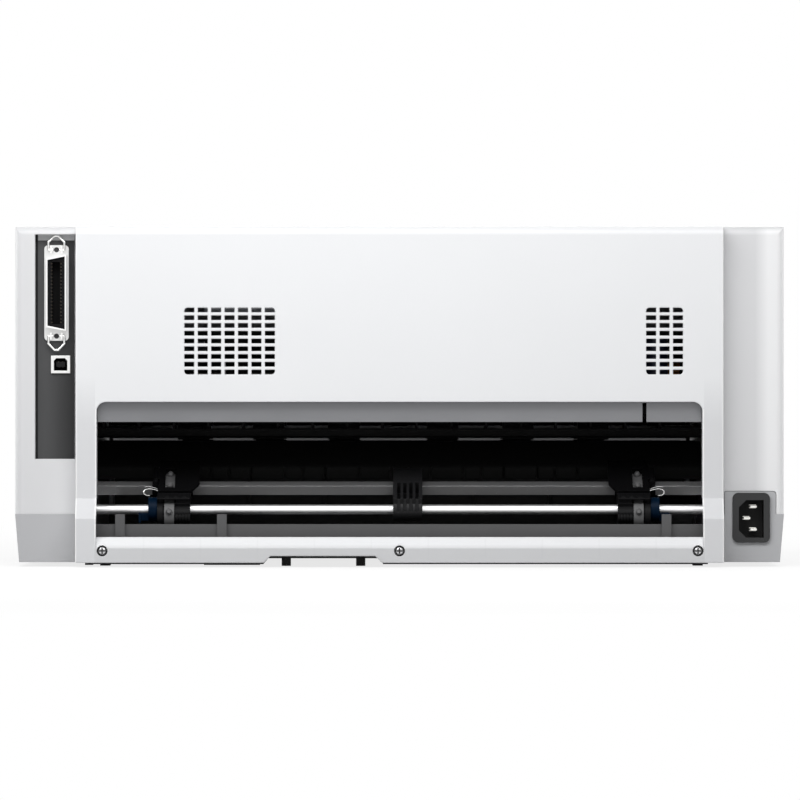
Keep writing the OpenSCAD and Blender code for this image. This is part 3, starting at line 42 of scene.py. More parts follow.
class Term:
    """A socket's value inside one node tree, used like a number in expressions."""

    def __init__(self, shading, socket):
        self.shading = shading
        self.socket = socket

    def op(self, operation, *others, clamp=False):
        settings = {"operation": operation, "use_clamp": clamp}
        node = self.shading.node("ShaderNodeMath", settings, [self, *others])
        return Term(self.shading, node.outputs[0])

    def __add__(self, other):
        return self.op("ADD", other)

    __radd__ = __add__

    def __sub__(self, other):
        return self.op("SUBTRACT", other)

    def __rsub__(self, other):
        return (self * -1) + other

    def __mul__(self, other):
        return self.op("MULTIPLY", other)

    __rmul__ = __mul__

    def __truediv__(self, other):
        return self.op("DIVIDE", other)

    def __abs__(self):
        return self.op("ABSOLUTE")

    def wrap(self, pitch):
        """Distance to the nearest whole number of pitches."""
        return abs((self / pitch).op("WRAP", 0.5, -0.5)) * pitch

    def above(self, limit, soft=0.0002):
        """0 below the limit and 1 above it, over a soft edge."""
        return ((self - limit) / soft + 0.5).op("ADD", 0.0, clamp=True)

    def below(self, limit, soft=0.0002):
        return 1 - self.above(limit, soft)


class Shading:
    """A node tree whose nodes all come from one method."""

    def __init__(self, tree):
        self.tree = tree

    def node(self, kind, settings=None, inputs=None):
        """A node of that type, with its settings made first and then its sockets' values or links."""
        made = self.tree.nodes.new(kind)
        for key, value in (settings or {}).items():
            setattr(made, key, value)
        rows = enumerate(inputs) if isinstance(inputs, (list, tuple)) else (inputs or {}).items()
        for key, value in rows:
            if isinstance(value, Term):
                self.tree.links.new(value.socket, made.inputs[key])
            else:
                made.inputs[key].default_value = value
        return made

    def plainly_seen(self):
        """1 for what the camera, a reflection or a look through glass sees, and 0 for lighting."""
        path = self.node("ShaderNodeLightPath")
        camera, glossy, through = (Term(self, path.outputs[f"Is {ray} Ray"])
                                   for ray in ("Camera", "Glossy", "Transmission"))
        return camera.op("MAXIMUM", glossy).op("MAXIMUM", through)


class Finish(Shading):
    """One material: a principled shader whose varying inputs come from expressions."""

    def __init__(self, name, colour, roughness, **plain):
        self.material = bpy.data.materials.new(name)
        self.material.use_nodes = True
        super().__init__(self.material.node_tree)
        self.shader = self.tree.nodes["Principled BSDF"]
        self.output = self.tree.nodes["Material Output"]
        self.shader.inputs["Base Color"].default_value = (*colour, 1.0)
        self.shader.inputs["Roughness"].default_value = roughness
        for socket, value in plain.items():
            self.shader.inputs[socket.replace("_", " ")].default_value = value
        self.material.diffuse_color = (*colour, 1.0)
        self.place = None

    def feed(self, socket, term):
        self.tree.links.new(term.socket, self.shader.inputs[socket])

    def where(self):
        """The point on the piece, in metres, as X, Y and Z terms."""
        if self.place is None:
            coords = self.node("ShaderNodeTexCoord").outputs["Object"]
            self.place = Term(self, coords)
            self.axes = self.node("ShaderNodeSeparateXYZ", None, [self.place])
        return [Term(self, self.axes.outputs[k]) for k in range(3)]

    def noise(self, scale, detail=2.0, rough=0.5, stretch=None):
        """Noise from 0 to 1, with a scale in cells per metre."""
        self.where()
        place = self.place
        if stretch:
            node = self.node("ShaderNodeMapping", None, {"Vector": place, "Scale": stretch})
            place = Term(self, node.outputs[0])
        made = self.node("ShaderNodeTexNoise", None,
                         {"Vector": place, "Scale": scale, "Detail": detail, "Roughness": rough})
        return Term(self, made.outputs["Fac"])

    def blend(self, factor, first, second):
        """A colour between two, each given as numbers or as a term."""
        first = first if isinstance(first, Term) else (*first[:3], 1.0)
        second = second if isinstance(second, Term) else (*second[:3], 1.0)
        node = self.node("ShaderNodeMix", {"data_type": "RGBA"}, {0: factor, 6: first, 7: second})
        return Term(self, node.outputs[2])

    def tint(self, colour, shade):
        """A colour multiplied by a grey value."""
        colour = colour if isinstance(colour, Term) else (*colour[:3], 1.0)
        grey = self.node("ShaderNodeCombineXYZ", None, [shade, shade, shade])
        node = self.node("ShaderNodeMix", {"data_type": "RGBA", "blend_type": "MULTIPLY"},
                         {0: 1.0, 6: colour, 7: Term(self, grey.outputs[0])})
        return Term(self, node.outputs[2])

    def relief(self, height, depth, edge=0.0):
        """Bump of that depth in metres from a height of 0 to 1, over softened edges."""
        bump = self.node("ShaderNodeBump", None, {"Strength": 1.0, "Distance": depth, "Height": height})
        if edge:
            rounded = self.node("ShaderNodeBevel", {"samples": 4}, {"Radius": edge})
            self.tree.links.new(rounded.outputs[0], bump.inputs["Normal"])
        self.feed("Normal", Term(self, bump.outputs[0]))


def moulded(name, colour, roughness, grain=1900.0, depth=0.00002, edge=0.0006, shade=0.04, marks=None,
            shine=0.5):
    """Spark-textured plastic: fine grain, faint flow clouds and softened edges."""
    finish = Finish(name, colour, roughness, IOR=1.48, Specular_IOR_Level=shine)
    fine = finish.noise(grain, 3.0, 0.6)
    cloud = finish.noise(9.0, 3.0, 0.55)
    deep = tuple(c * (1 - shade) for c in colour)
    tone = finish.blend(cloud * 0.6 + fine * 0.4, deep, tuple(min(c * (1 + shade / 2), 1.0) for c in colour))
    if marks:
        tone = marks(finish, tone)
    finish.feed("Base Color", tone)
    finish.feed("Roughness", (fine - 0.5) * 0.18 + (cloud - 0.5) * 0.08 + roughness)
    finish.relief(fine, depth, edge)
    return finish.material


def sheet_metal(name, colour, roughness, along=(1.0, 40.0, 40.0), metallic=1.0, depth=0.000006):
    """Rolled or drawn steel: fine lines along one axis and a few cloudy handling marks."""
    finish = Finish(name, colour, roughness, Metallic=metallic)
    lines = finish.noise(60.0, 4.0, 0.7, stretch=along)
    cloud = finish.noise(30.0, 4.0, 0.6)
    dull = tuple(c * 0.82 for c in colour)
    finish.feed("Base Color", finish.blend(lines * 0.5 + cloud * 0.5, dull, colour))
    finish.feed("Roughness", (lines - 0.5) * 0.25 + (cloud - 0.5) * 0.15 + roughness)
    finish.relief(lines, depth, 0.0003)
    return finish.material


def polished_rod(name, colour, roughness):
    """Ground and plated bar: almost mirror bright, with rings left by grinding."""
    finish = Finish(name, colour, roughness, Metallic=1.0)
    rings = finish.noise(900.0, 2.0, 0.5, stretch=(1.0, 0.02, 0.02))
    oil = finish.noise(25.0, 3.0, 0.5)
    finish.feed("Base Color", finish.blend(oil, tuple(c * 0.93 for c in colour), colour))
    finish.feed("Roughness", rings * 0.05 + oil * 0.05 + roughness)
    finish.relief(rings, 0.000001)
    return finish.material


def ground_rubber(name, colour, roughness):
    """Rubber ground true on a roller or feet: matt, with tiny pores."""
    finish = Finish(name, colour, roughness, IOR=1.5, Specular_IOR_Level=0.3)
    pores = finish.noise(2600.0, 2.0, 0.6)
    dust = finish.noise(60.0, 4.0, 0.65)
    finish.feed("Base Color", finish.blend(dust * pores, colour, tuple(c * 1.7 + 0.006 for c in colour)))
    finish.feed("Roughness", pores * 0.12 + roughness)
    finish.relief(pores, 0.00003, 0.0003)
    return finish.material


def masked(name, base, patches, grain=1500.0, depth=0.00001, edge=0.0003, shine=0.5):
    """One piece whose areas differ: patches are (mask, colour, roughness, metallic)."""
    colour, roughness, metallic = base
    finish = Finish(name, colour, roughness, Specular_IOR_Level=shine)
    fine = finish.noise(grain, 3.0, 0.6)
    tone, rough, metal = colour, roughness, metallic
    for mask, patch_colour, patch_rough, patch_metal in patches:
        where = mask(finish)
        tone = finish.blend(where, tone, patch_colour)
        rough = where * patch_rough + (1 - where) * rough
        metal = where * patch_metal + (1 - where) * metal
    shade = finish.noise(35.0, 3.0, 0.6) * 0.5 + fine * 0.5
    finish.feed("Base Color", finish.tint(tone, shade * 0.24 + 0.88))
    finish.feed("Roughness", rough + (fine - 0.5) * 0.15)
    finish.feed("Metallic", metal)
    finish.relief(fine, depth, edge)
    return finish.material


def block(low, high):
    """A mask for the inside of a box given by two corners in millimetres; None leaves a side open."""
    def mask(finish):
        steps = []
        for term, start, end in zip(finish.where(), low, high):
            if start is not None:
                steps.append(term.above(start * MM))
            if end is not None:
                steps.append(term.below(end * MM))
        made = steps[0]
        for step in steps[1:]:
            made = made * step
        return made
    return mask


def blocks(pairs):
    """A mask for several boxes."""
    def mask(finish):
        parts = [block(low, high)(finish) for low, high in pairs]
        made = parts[0]
        for part in parts[1:]:
            made = made.op("MAXIMUM", part)
        return made
    return mask


# ---- Where things are, in millimetres ----

PORT = (214.45, 155.5, 170.7)
PORT_CORE = (10.7, 45.5)
PORT_CUT = 2.2
PORT_CONTACTS = 18
PORT_PITCH = 2.16
USB = (211.9, 155.5, 126.05)
BAY_OUTER = 227.6
BAY_TOP = 207.2
INLET = (-219.5, 163.0, 30.35)
INLET_PINS = ((-1.6, 6.85), (2.5, -0.35), (-1.6, -7.45))
FACE_Y = 175.0
COVER_HALF = 201.7
COVER_CEILING = 209.6
OPENING_HALF = 188.9
OPENING_TOP = 104.0
POST_INNER = 189.6
SIDE_FACE_Y = 165.0
FOOT_Y = 176.0
SINK_FIRST = 17.5
SINK_PITCH = 35.4
# How far inside a moulding's outer face its painted inside shade begins.
SHADE_INSET = 2.4
HOUSING_OUTER = -226.0
HOUSING_FACE_Y = 161.0
CASE_RECESS = ((8.0, -3.0, None), (87.0, 176.5, 9.25))
LIP_REAR = (-143.2, 75.0)
COVER_SCREWS = (184.8, 0.0, -185.5)
COVER_SCREW_Z = 10.0
SCREW_HEAD = 2.72
SCREW_SLOT = (0.45, 1.9)
GEAR_X = 195.0
STAY = ((-192.3, 157.5, 13.5), (192.3, 169.5, 33.0))
ROLLER_MIDDLE = 4.0
ROLLER_FIRST = 31.7
ROLLER_PITCH = 48.0
ROLLER_HALF = 10.0
NOSE = (-148.0, 104.0)
NOSE_RISE = 28.0 / 18.0
ROCKER = (-240.0, -108.0, 70.0)
SLOPE = math.radians(26.86)
SLOPE_TOP = (28.0, 212.0)
KEY_X = (136.7, 156.7, 176.7)
LAMP_Y = -99.4
BELT_NOSE = (150.0, 31.9)
BELT_ANGLE = math.radians(32.288)
TRACTORS = {"tractor_right": (144.0, 1), "tractor_left": (-149.5, -1)}


# ---- Finishes ----

COVER_WHITE = (0.83, 0.838, 0.853)
HOUSING_WHITE = (0.70, 0.703, 0.716)
# Painted shade: the lower case is the same white plastic as the cover, painted darker.
CASE_SHADE_WHITE = (0.48, 0.484, 0.498)
SOFT_GREY = (0.60, 0.605, 0.615)
BLACK = (0.012, 0.012, 0.013)
DEEP_BLACK = (0.006, 0.006, 0.0065)
# Painted shade: nearly black, laid over the insides of the white mouldings.
INSIDE_SHADE = (0.02, 0.02, 0.02)
SHEET = (0.50, 0.505, 0.51)
# Painted highlight on the cover's edges.
PAINTED_HIGHLIGHT = (0.97, 0.97, 0.97)
# Painted shade on the cover's posts.
POST_SHADE_WHITE = (0.70, 0.706, 0.722)
# Painted shade on the bottom of the foot bar.
FOOT_SHADE_WHITE = (0.53, 0.535, 0.545)
# Painted shade in the sink lines.
SINK_SHADE_GREY = (0.42, 0.425, 0.43)
# Painted light along the left housing's outer edge.
OUTER_HIGHLIGHT_WHITE = (0.88, 0.883, 0.893)
GEAR_IVORY = (0.72, 0.69, 0.60)


def shaded_inside(area):
    """Marks for a white moulding with painted shade, nearly black, over one area."""
    def marks(finish, tone):
        return finish.blend(area(finish), tone, INSIDE_SHADE)
    return marks


def cover_light_and_shade(finish, tone):
    """Painted light and shade: faint shade in the sink lines, painted shade on the foot bar and posts,
    painted highlights on the edges, and painted shade inside.
    """
    x, y, z = finish.where()
    out = abs(x)
    # Painted shade: faint grey lines on the foot bar stand in for the shade of shallow sink marks.
    line = (x - SINK_FIRST * MM).wrap(SINK_PITCH * MM).below(0.0002, 0.0012)
    bar = y.above(176.5 * MM, 0.002) * z.below(17.6 * MM, 0.002) * z.above(5 * MM, 0.006)
    tone = finish.blend(line * bar * 0.12, tone, SINK_SHADE_GREY)
    # Painted shade: the bottom of the foot bar is painted greyer.
    foot = y.above(FOOT_Y * MM) * z.below(12.5 * MM, 0.003)
    tone = finish.blend(foot * 0.6, tone, FOOT_SHADE_WHITE)
    # Painted shade: the posts beside the opening are painted greyer.
    posts = out.above(POST_INNER * MM) * z.below(OPENING_TOP * MM, 0.03) * y.above(SIDE_FACE_Y * MM)
    tone = finish.blend(posts, tone, POST_SHADE_WHITE)
    # Painted highlights: the cover's side edges and the sides of the opening are painted near white.
    edge = out.above((COVER_HALF - 0.7) * MM, 0.0006) * y.above(SIDE_FACE_Y * MM)
    rim = out.above(OPENING_HALF * MM) * out.below(POST_INNER * MM) * z.below(98 * MM)
    rim = rim * y.above((FACE_Y - 2) * MM) * z.above(18 * MM)
    tone = finish.blend(edge.op("MAXIMUM", rim), tone, PAINTED_HIGHLIGHT)
    # Painted shade: the cover's inside above the opening is painted nearly black.
    inside = y.below((FACE_Y - SHADE_INSET) * MM) * y.above(40 * MM)
    inside = inside * z.below(COVER_CEILING * MM) * z.above(OPENING_TOP * MM)
    return finish.blend(inside * out.below((COVER_HALF - SHADE_INSET) * MM), tone, INSIDE_SHADE)


def sleeves(finish):
    """1 on the rubber sleeves of a roller shaft and 0 on its steel."""
    x = finish.where()[0]
    out = abs(x - ROLLER_MIDDLE * MM)
    near = (out - ROLLER_FIRST * MM).wrap(ROLLER_PITCH * MM).below(ROLLER_HALF * MM)
    return near * out.above(15 * MM) * out.below(150 * MM)


def housing_outer_highlight(finish, tone):
    """Painted light: the left housing's rear face is painted paler along its outer edge."""
    x, y, _ = finish.where()
    outer = x.below(HOUSING_OUTER * MM, 0.008) * y.above(HOUSING_FACE_Y * MM, 0.003)
    return finish.blend(outer, tone, OUTER_HIGHLIGHT_WHITE)


def gear_end(finish):
    """1 on the gear at the left end of a shaft or roller, and 0 on its steel."""
    return finish.where()[0].below(-(GEAR_X - 0.3) * MM)


def inlet_pins(finish):
    """The three blades inside the mains inlet."""
    boxes = [((INLET[0] + x - 2.1, INLET[1] - 15.2, INLET[2] + z - 1.1),
              (INLET[0] + x + 2.1, INLET[1] - 1.0, INLET[2] + z + 1.1)) for x, z in INLET_PINS]
    return blocks(boxes)(finish)


def bezel_inside_shade(finish):
    """The inside of the front bezel, painted nearly black as shade: under its nose and slope, on its lip and
    below the slot.
    """
    _, y, z = finish.where()
    nose = z - (y + NOSE[0] * -MM) * NOSE_RISE - NOSE[1] * MM
    slope = z - (y - SLOPE_TOP[0] * MM) * math.tan(SLOPE) - SLOPE_TOP[1] * MM
    under = slope.below(-2.6 * MM)
    behind = NOSE[0] + SHADE_INSET
    hood = nose.below(-3.2 * MM) * under * y.above(behind * MM) * z.above(78.3 * MM)
    lip = y.above(LIP_REAR[0] * MM) * z.above(LIP_REAR[1] * MM) * under
    low_wall = block((-190.0, behind, 32.0), (190.0, None, 63.8))(finish)
    return hood.op("MAXIMUM", lip).op("MAXIMUM", low_wall)


def case_inside_shade(finish):
    """The floor and inner walls of the lower case, painted nearly black as shade, but not the recess under
    it.
    """
    wide = block((-234.9, -145.6, 5.0), (234.9, 160.4, None))
    middle = block((-196.0, 150.0, 5.0), (196.0, 172.4, None))
    return wide(finish).op("MAXIMUM", middle(finish)) * (1 - block(*CASE_RECESS)(finish))


def inlet_recess_shade(finish):
    """1 in the socket behind the inlet's bezel, painted darker as shade."""
    return block((None, None, None), (None, INLET[1] + 1.6, None))(finish)


def port_core(finish):
    """1 inside the D shell of the parallel port, and 0 on the shell's rim and outside."""
    x, y, z = finish.where()
    slant = PORT_CUT / PORT_CORE[0]
    ends = abs(z - PORT[2] * MM) + (x - (PORT[0] - PORT_CORE[0] / 2) * MM) * slant
    sides = abs(x - PORT[0] * MM).below((PORT_CORE[0] / 2 + 0.15) * MM)
    inside = sides * ends.below((PORT_CORE[1] / 2 + 0.35) * MM) * y.below((PORT[1] + 6.5) * MM)
    return inside.op("MAXIMUM", y.below((PORT[1] - 1.45) * MM))


def usb_tongue_and_shade(finish):
    """1 inside the square socket: on its black tongue, and as painted shade on the shell's inner walls; 0 on
    the shell's outside.
    """
    low = (USB[0] - 4.25, None, USB[2] - 3.95)
    return block(low, (USB[0] + 4.25, USB[1] + 1.4, USB[2] + 3.95))(finish)


def panel_outer_light(finish):
    """Painted light: rises towards the outer wall of the bay, where the panel is painted paler."""
    return finish.where()[0].above(215 * MM, 0.026)


def port_flange(finish):
    """1 on the flange of the parallel port, and 0 on the D shell that stands on it."""
    return finish.where()[1].below((PORT[1] + 1.4) * MM)


def panel_shadow_gap(finish):
    """The open joint between the interface panel and the bay's outer wall."""
    return block((BAY_OUTER - 1.5, None, None), (None, None, None))(finish)


def panel_top_highlight(finish):
    """Painted highlight: a pale band along the top of the interface panel, standing in for a lit folded
    edge.
    """
    return block((None, None, BAY_TOP - 3.6), (BAY_OUTER - 0.9, None, None))(finish)


def stay_and_posts_shade(finish):
    """1 on the stay and posts behind the tractors, painted dark as shade, and 0 on the plated side frame."""
    return block(*STAY)(finish)


def from_screw(finish):
    """How far a point lies to the side of the nearest cover screw's axis, and how far above it."""
    x, _, z = finish.where()
    aside = [abs(x - screw * MM) for screw in COVER_SCREWS]
    near = aside[0].op("MINIMUM", aside[1]).op("MINIMUM", aside[2])
    return near, z - COVER_SCREW_Z * MM


def cup_washers(finish):
    """1 on the black washers, outside the screw heads."""
    near, up = from_screw(finish)
    return (near * near + up * up).op("SQRT").above(SCREW_HEAD * MM, 0.0001)


def cross_slot_shade(finish):
    """1 in the crossed slots of the screw heads, painted dark as shade."""
    near, up = from_screw(finish)
    half, reach = (side * MM for side in SCREW_SLOT)
    upright = near.below(half) * abs(up).below(reach)
    return upright.op("MAXIMUM", near.below(reach) * abs(up).below(half))


def rocker_marks(finish):
    """The usual stroke for on and ring for off, printed on the rocker."""
    x, y, z = finish.where()
    up = z - ROCKER[2] * MM
    stroke = abs(y - (ROCKER[1] + 4.6) * MM).below(0.0004) * abs(up).below(0.0021)
    across = y - (ROCKER[1] - 4.8) * MM
    away = (across * across + up * up).op("SQRT")
    ring = abs(away - 0.0018).below(0.0004)
    return stroke.op("MAXIMUM", ring) * x.below((ROCKER[0] + 2.6) * MM)


def ribbon_cloth(finish):
    """1 on the inked ribbon that lies across the cartridge."""
    return block((-171, -6.5, 79.9), (171, 7, 80.6))(finish)


BOARD_CHIPS = blocks([((26, 100, 114.9), (54, 146, 117.2))]
                     + [((-46 + k * 16, 130, 114.9), (-34 + k * 16, 160, 117.2)) for k in range(4)]
                     + [((72 + k * 22, 90, 114.9), (88 + k * 22, 122, 117.2)) for k in range(3)])
HEAT_SINK = block((106, 128, 114.9), (160, 160, 132))
SOCKET_ROW = block((-45, 82, 114.9), (136, 92, 124))
POWER_CANS = block((-170, 122, 114.9), (-130, 150, 146))
POWER_FINS = block((-94, 90, 114.9), (-68, 150, 140))
TRANSFORMER = block((-138, 100, 114.9), (-102, 142, 142))
TUNER = block((-178, 84, 114.9), (-158, 112, 130))

METAL = (SHEET, 0.36, 1.0)
FINISH = {
    "cover": moulded("cover_plastic", COVER_WHITE, 0.42, edge=0.0011, marks=cover_light_and_shade),
    "housing": moulded("housing_plastic", HOUSING_WHITE, 0.46, marks=housing_outer_highlight),
    "case": moulded("case_plastic", CASE_SHADE_WHITE, 0.46, marks=shaded_inside(case_inside_shade)),
    "bezel": moulded("bezel_plastic", COVER_WHITE, 0.42, edge=0.0011, marks=shaded_inside(bezel_inside_shade)),
    "lid": moulded("lid_plastic", COVER_WHITE, 0.42, edge=0.0011),
    "table": moulded("table_plastic", SOFT_GREY, 0.45),
    "black": moulded("black_plastic", BLACK, 0.5, grain=1400.0, shade=0.3, shine=0.2),
    "tractor": moulded("tractor_plastic", (0.0045, 0.0045, 0.005), 0.5, 1400.0, shade=0.3, shine=0.1),
    "door": moulded("door_plastic", (0.0025, 0.0025, 0.0028), 0.55, 1400.0, shade=0.3, shine=0.06),
    "guide": moulded("guide_plastic", (0.020, 0.020, 0.020), 0.55, grain=900.0, shade=0.4, shine=0.05),
    "lever": moulded("lever_plastic", (0.0013, 0.009, 0.024), 0.45, shade=0.25, shine=0.06),
    "key": moulded("key_plastic", (0.34, 0.36, 0.39), 0.36, edge=0.0008),
    "gear": moulded("gear_plastic", GEAR_IVORY, 0.35, grain=700.0, edge=0.0003),
    # Painted shade: the pin belts' grey is darkened to stand in for the shade inside the machine.
    "pin_belt": moulded("belt_plastic", (0.125, 0.125, 0.127), 0.5, 1200.0, edge=0.0003, shade=0.12,
                        shine=0.3),
    "panel": masked("interface_panel", ((0.014, 0.014, 0.0145), 0.45, 0.0), [
        (panel_outer_light, (0.080, 0.081, 0.083), 0.45, 0.0),
        (panel_top_highlight, (0.70, 0.705, 0.715), 0.4, 0.0),
        (panel_shadow_gap, DEEP_BLACK, 0.7, 0.0)], grain=2200.0, shine=0.3),
    "dark_coat": moulded("dark_coated_sheet", (0.02, 0.02, 0.021), 0.5, grain=1800.0, shade=0.2),
    "motor": moulded("motor_coat", (0.03, 0.03, 0.032), 0.35, grain=1500.0, shade=0.2),
    "sheet": sheet_metal("plated_sheet", SHEET, 0.38),
    "frame": masked("plated_side_frame", METAL, [(stay_and_posts_shade, (0.075, 0.075, 0.077), 0.5, 0.0)]),
    "zinc": sheet_metal("zinc_plate", (0.22, 0.223, 0.232), 0.45),
    "screw": masked("cover_screws", ((0.55, 0.55, 0.56), 0.3, 1.0), [
        (cross_slot_shade, (0.05, 0.05, 0.05), 0.6, 0.0), (cup_washers, DEEP_BLACK, 0.6, 0.0)], shine=0.2),
    "wire": polished_rod("spring_wire", (0.88, 0.88, 0.87), 0.2),
    "rod": polished_rod("ground_rod", (0.93, 0.93, 0.935), 0.42),
    "rubber": ground_rubber("foot_rubber", (0.010, 0.010, 0.010), 0.75),
    "rocker": masked("rocker_plastic", (BLACK, 0.4, 0.0), [(rocker_marks, (0.75, 0.75, 0.75), 0.5, 0.0)]),
    "drive_belt": ground_rubber("drive_belt_rubber", (0.015, 0.015, 0.015), 0.6),
    "platen": ground_rubber("platen_rubber", (0.02, 0.02, 0.021), 0.55),
    "roller": masked("feed_roller", METAL, [(sleeves, (0.02, 0.02, 0.021), 0.65, 0.0),
                                            (gear_end, GEAR_IVORY, 0.4, 0.0)]),
    "drive": masked("drive_shaft_steel", ((0.55, 0.55, 0.555), 0.24, 0.7), [
        (gear_end, GEAR_IVORY, 0.4, 0.0)]),
    "port": masked("port_shell", ((0.92, 0.92, 0.91), 0.3, 1.0), [
        (port_flange, (0.70, 0.70, 0.695), 0.38, 1.0), (port_core, DEEP_BLACK, 0.6, 0.0)], shine=0.1),
    "usb": masked("usb_shell", ((0.85, 0.85, 0.84), 0.3, 1.0), [
        (usb_tongue_and_shade, DEEP_BLACK, 0.6, 0.0)], shine=0.2),
    "inlet": masked("inlet_moulding", ((0.030, 0.030, 0.031), 0.4, 0.0), [
        (inlet_recess_shade, (0.005, 0.005, 0.005), 0.6, 0.0),
        (inlet_pins, (0.85, 0.84, 0.80), 0.3, 1.0)], shine=0.3),
    "main_board": masked("main_board", ((0.012, 0.075, 0.03), 0.35, 0.0), [
        (BOARD_CHIPS, BLACK, 0.45, 0.0), (SOCKET_ROW, (0.6, 0.57, 0.48), 0.5, 0.0),
        (HEAT_SINK, (0.45, 0.45, 0.46), 0.4, 1.0)]),
    "power_board": masked("power_board", ((0.25, 0.16, 0.06), 0.5, 0.0), [
        (POWER_CANS, (0.015, 0.02, 0.05), 0.4, 0.0), (POWER_FINS, (0.45, 0.45, 0.46), 0.4, 1.0),
        (TRANSFORMER, (0.45, 0.32, 0.05), 0.45, 0.0), (TUNER, (0.5, 0.16, 0.02), 0.5, 0.0)]),
    "head": masked("head_casting", ((0.16, 0.16, 0.165), 0.5, 0.8), [
        (block((-10, -9, None), (10, 8, 110)), (0.02, 0.02, 0.02), 0.4, 0.0),
        (block((-10.2, 11.8, 137.8), (10.2, 20.5, 147)), (0.5, 0.48, 0.42), 0.5, 0.0)]),
    "carriage": moulded("carriage_plastic", (0.02, 0.02, 0.022), 0.4, shade=0.3),
    "cartridge": masked("cartridge_moulding", ((0.016, 0.016, 0.017), 0.36, 0.0),
                        [(ribbon_cloth, (0.008, 0.007, 0.012), 0.8, 0.0)]),
}

WEARS = {
    "cover": ["rear_cover"],
    "bezel": ["front_bezel"],
    "lid": ["top_cover"],
    "tractor": ["tractor_left", "tractor_right", "sprocket_left", "sprocket_right"],
    "door": ["tractor_door_left", "tractor_door_right"],
    "frame": ["frame_right"],
    "rocker": ["power_switch"],
    "housing": ["side_housing_left", "side_housing_right"],
    "case": ["lower_case"],
    "table": ["paper_table"],
    "black": ["sheet_support", "ribbon_knob"],
    "guide": ["paper_guide_lower", "paper_guide_upper"],
    "lever": ["lock_lever_left", "lock_lever_right"],
    "key": ["key_left", "key_middle", "key_right"],
    "gear": ["idler_rear", "idler_middle", "pulley_motor", "pulley_idler"],
    "pin_belt": ["pin_belt_left", "pin_belt_right"],
    "panel": ["interface_panel"],
    "dark_coat": ["base_plate"],
    "motor": ["feed_motor", "carriage_motor"],
    "sheet": ["frame_left", "carriage_rail", "motor_pinion"],
    "zinc": ["shield_plate"],
    "screw": ["rear_screws"],
    "wire": ["bail_upper", "bail_lower"],
    "rod": ["guide_shaft", "carriage_rod"],
    "rubber": ["rubber_feet"],
    "drive_belt": ["carriage_belt"],
    "platen": ["platen"],
    "roller": ["feed_roller_rear", "feed_roller_front", "pinch_roller_rear", "pinch_roller_front"],
    "drive": ["drive_shaft"],
    "port": ["parallel_port"],
    "usb": ["usb_port"],
    "inlet": ["power_inlet"],
    "main_board": ["main_board"],
    "power_board": ["power_board"],
    "head": ["print_head"],
    "carriage": ["carriage"],
    "cartridge": ["ribbon_cartridge"],
}


def smoked_sheet():
    """Smoked acrylic with faint rubbing marks."""
    finish = Finish("smoked_acrylic", (0.16, 0.165, 0.175), 0.06, IOR=1.49, Transmission_Weight=1.0)
    rub = finish.noise(220.0, 5.0, 0.7, stretch=(1.0, 6.0, 6.0))
    finish.feed("Roughness", rub * 0.1 + 0.02)
    finish.feed("Base Color", finish.blend(rub, (0.15, 0.155, 0.165), (0.18, 0.185, 0.195)))
    finish.relief(rub, 0.000002)
    return finish.material


FINISH["window"] = smoked_sheet()
WEARS["window"] = ["cover_window"]

for finish_name, wearers in WEARS.items():
    for node_name in wearers:
        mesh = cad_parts[node_name].data
        mesh.materials.clear()
        mesh.materials.append(FINISH[finish_name])
unfinished = set(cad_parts) - {node for wearers in WEARS.values() for node in wearers}
assert not unfinished, unfinished


# ---- Trim ----


def keep(name, mesh_edit, finish, body):
    """The finished bmesh as a named piece with one finish, riding on a body."""
    bmesh.ops.recalc_face_normals(mesh_edit, faces=mesh_edit.faces)
    mesh = bpy.data.meshes.new(name)
    mesh_edit.to_mesh(mesh)
    mesh_edit.free()
    mesh.materials.append(finish)
    piece = bpy.data.objects.new(name, mesh)
    bpy.context.scene.collection.objects.link(piece)
    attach(piece, body)


def bar_between(edit, low, high, round_by=0.0):
    """A box between two corners in millimetres, with rounded edges."""
    low, high = Vector(low) * MM, Vector(high) * MM
    size = high - low
    made = bmesh.ops.create_cube(edit, size=1.0)["verts"]
    bmesh.ops.scale(edit, vec=size, verts=made)
    bmesh.ops.translate(edit, vec=(low + high) / 2, verts=made)
    if round_by:
        edges = {edge for vert in made for edge in vert.link_edges}
        bmesh.ops.bevel(edit, geom=list(edges), offset=round_by * MM, affect="EDGES", segments=2,
                        profile=0.5, material=-1)


def bent_wire(edit, path, thick, sides=10):
    """A round wire along a path of points in millimetres: a ring drawn at each bend and bridged."""
    points = [Vector(p) * MM for p in path]
    rings = []
    for k, point in enumerate(points):
        back = (point - points[k - 1]).normalized() if k else (points[1] - point).normalized()
        ahead = (points[k + 1] - point).normalized() if k < len(points) - 1 else back
        along = (back + ahead).normalized()
        ring = bmesh.ops.create_circle(edit, radius=thick * MM / 2, segments=sides)["verts"]
        turn = along.to_track_quat("Z", "Y").to_matrix().to_4x4()
        bmesh.ops.transform(edit, matrix=Matrix.Translation(point) @ turn, verts=ring)
        rings.append(ring)
    for first, second in zip(rings, rings[1:]):
        edges = [e for v in first + second for e in v.link_edges
                 if all(w in first for w in e.verts) or all(w in second for w in e.verts)]
        bmesh.ops.bridge_loops(edit, edges=list(dict.fromkeys(edges)))
    for ring in (rings[0], rings[-1]):
        bmesh.ops.contextual_create(edit, geom=ring)


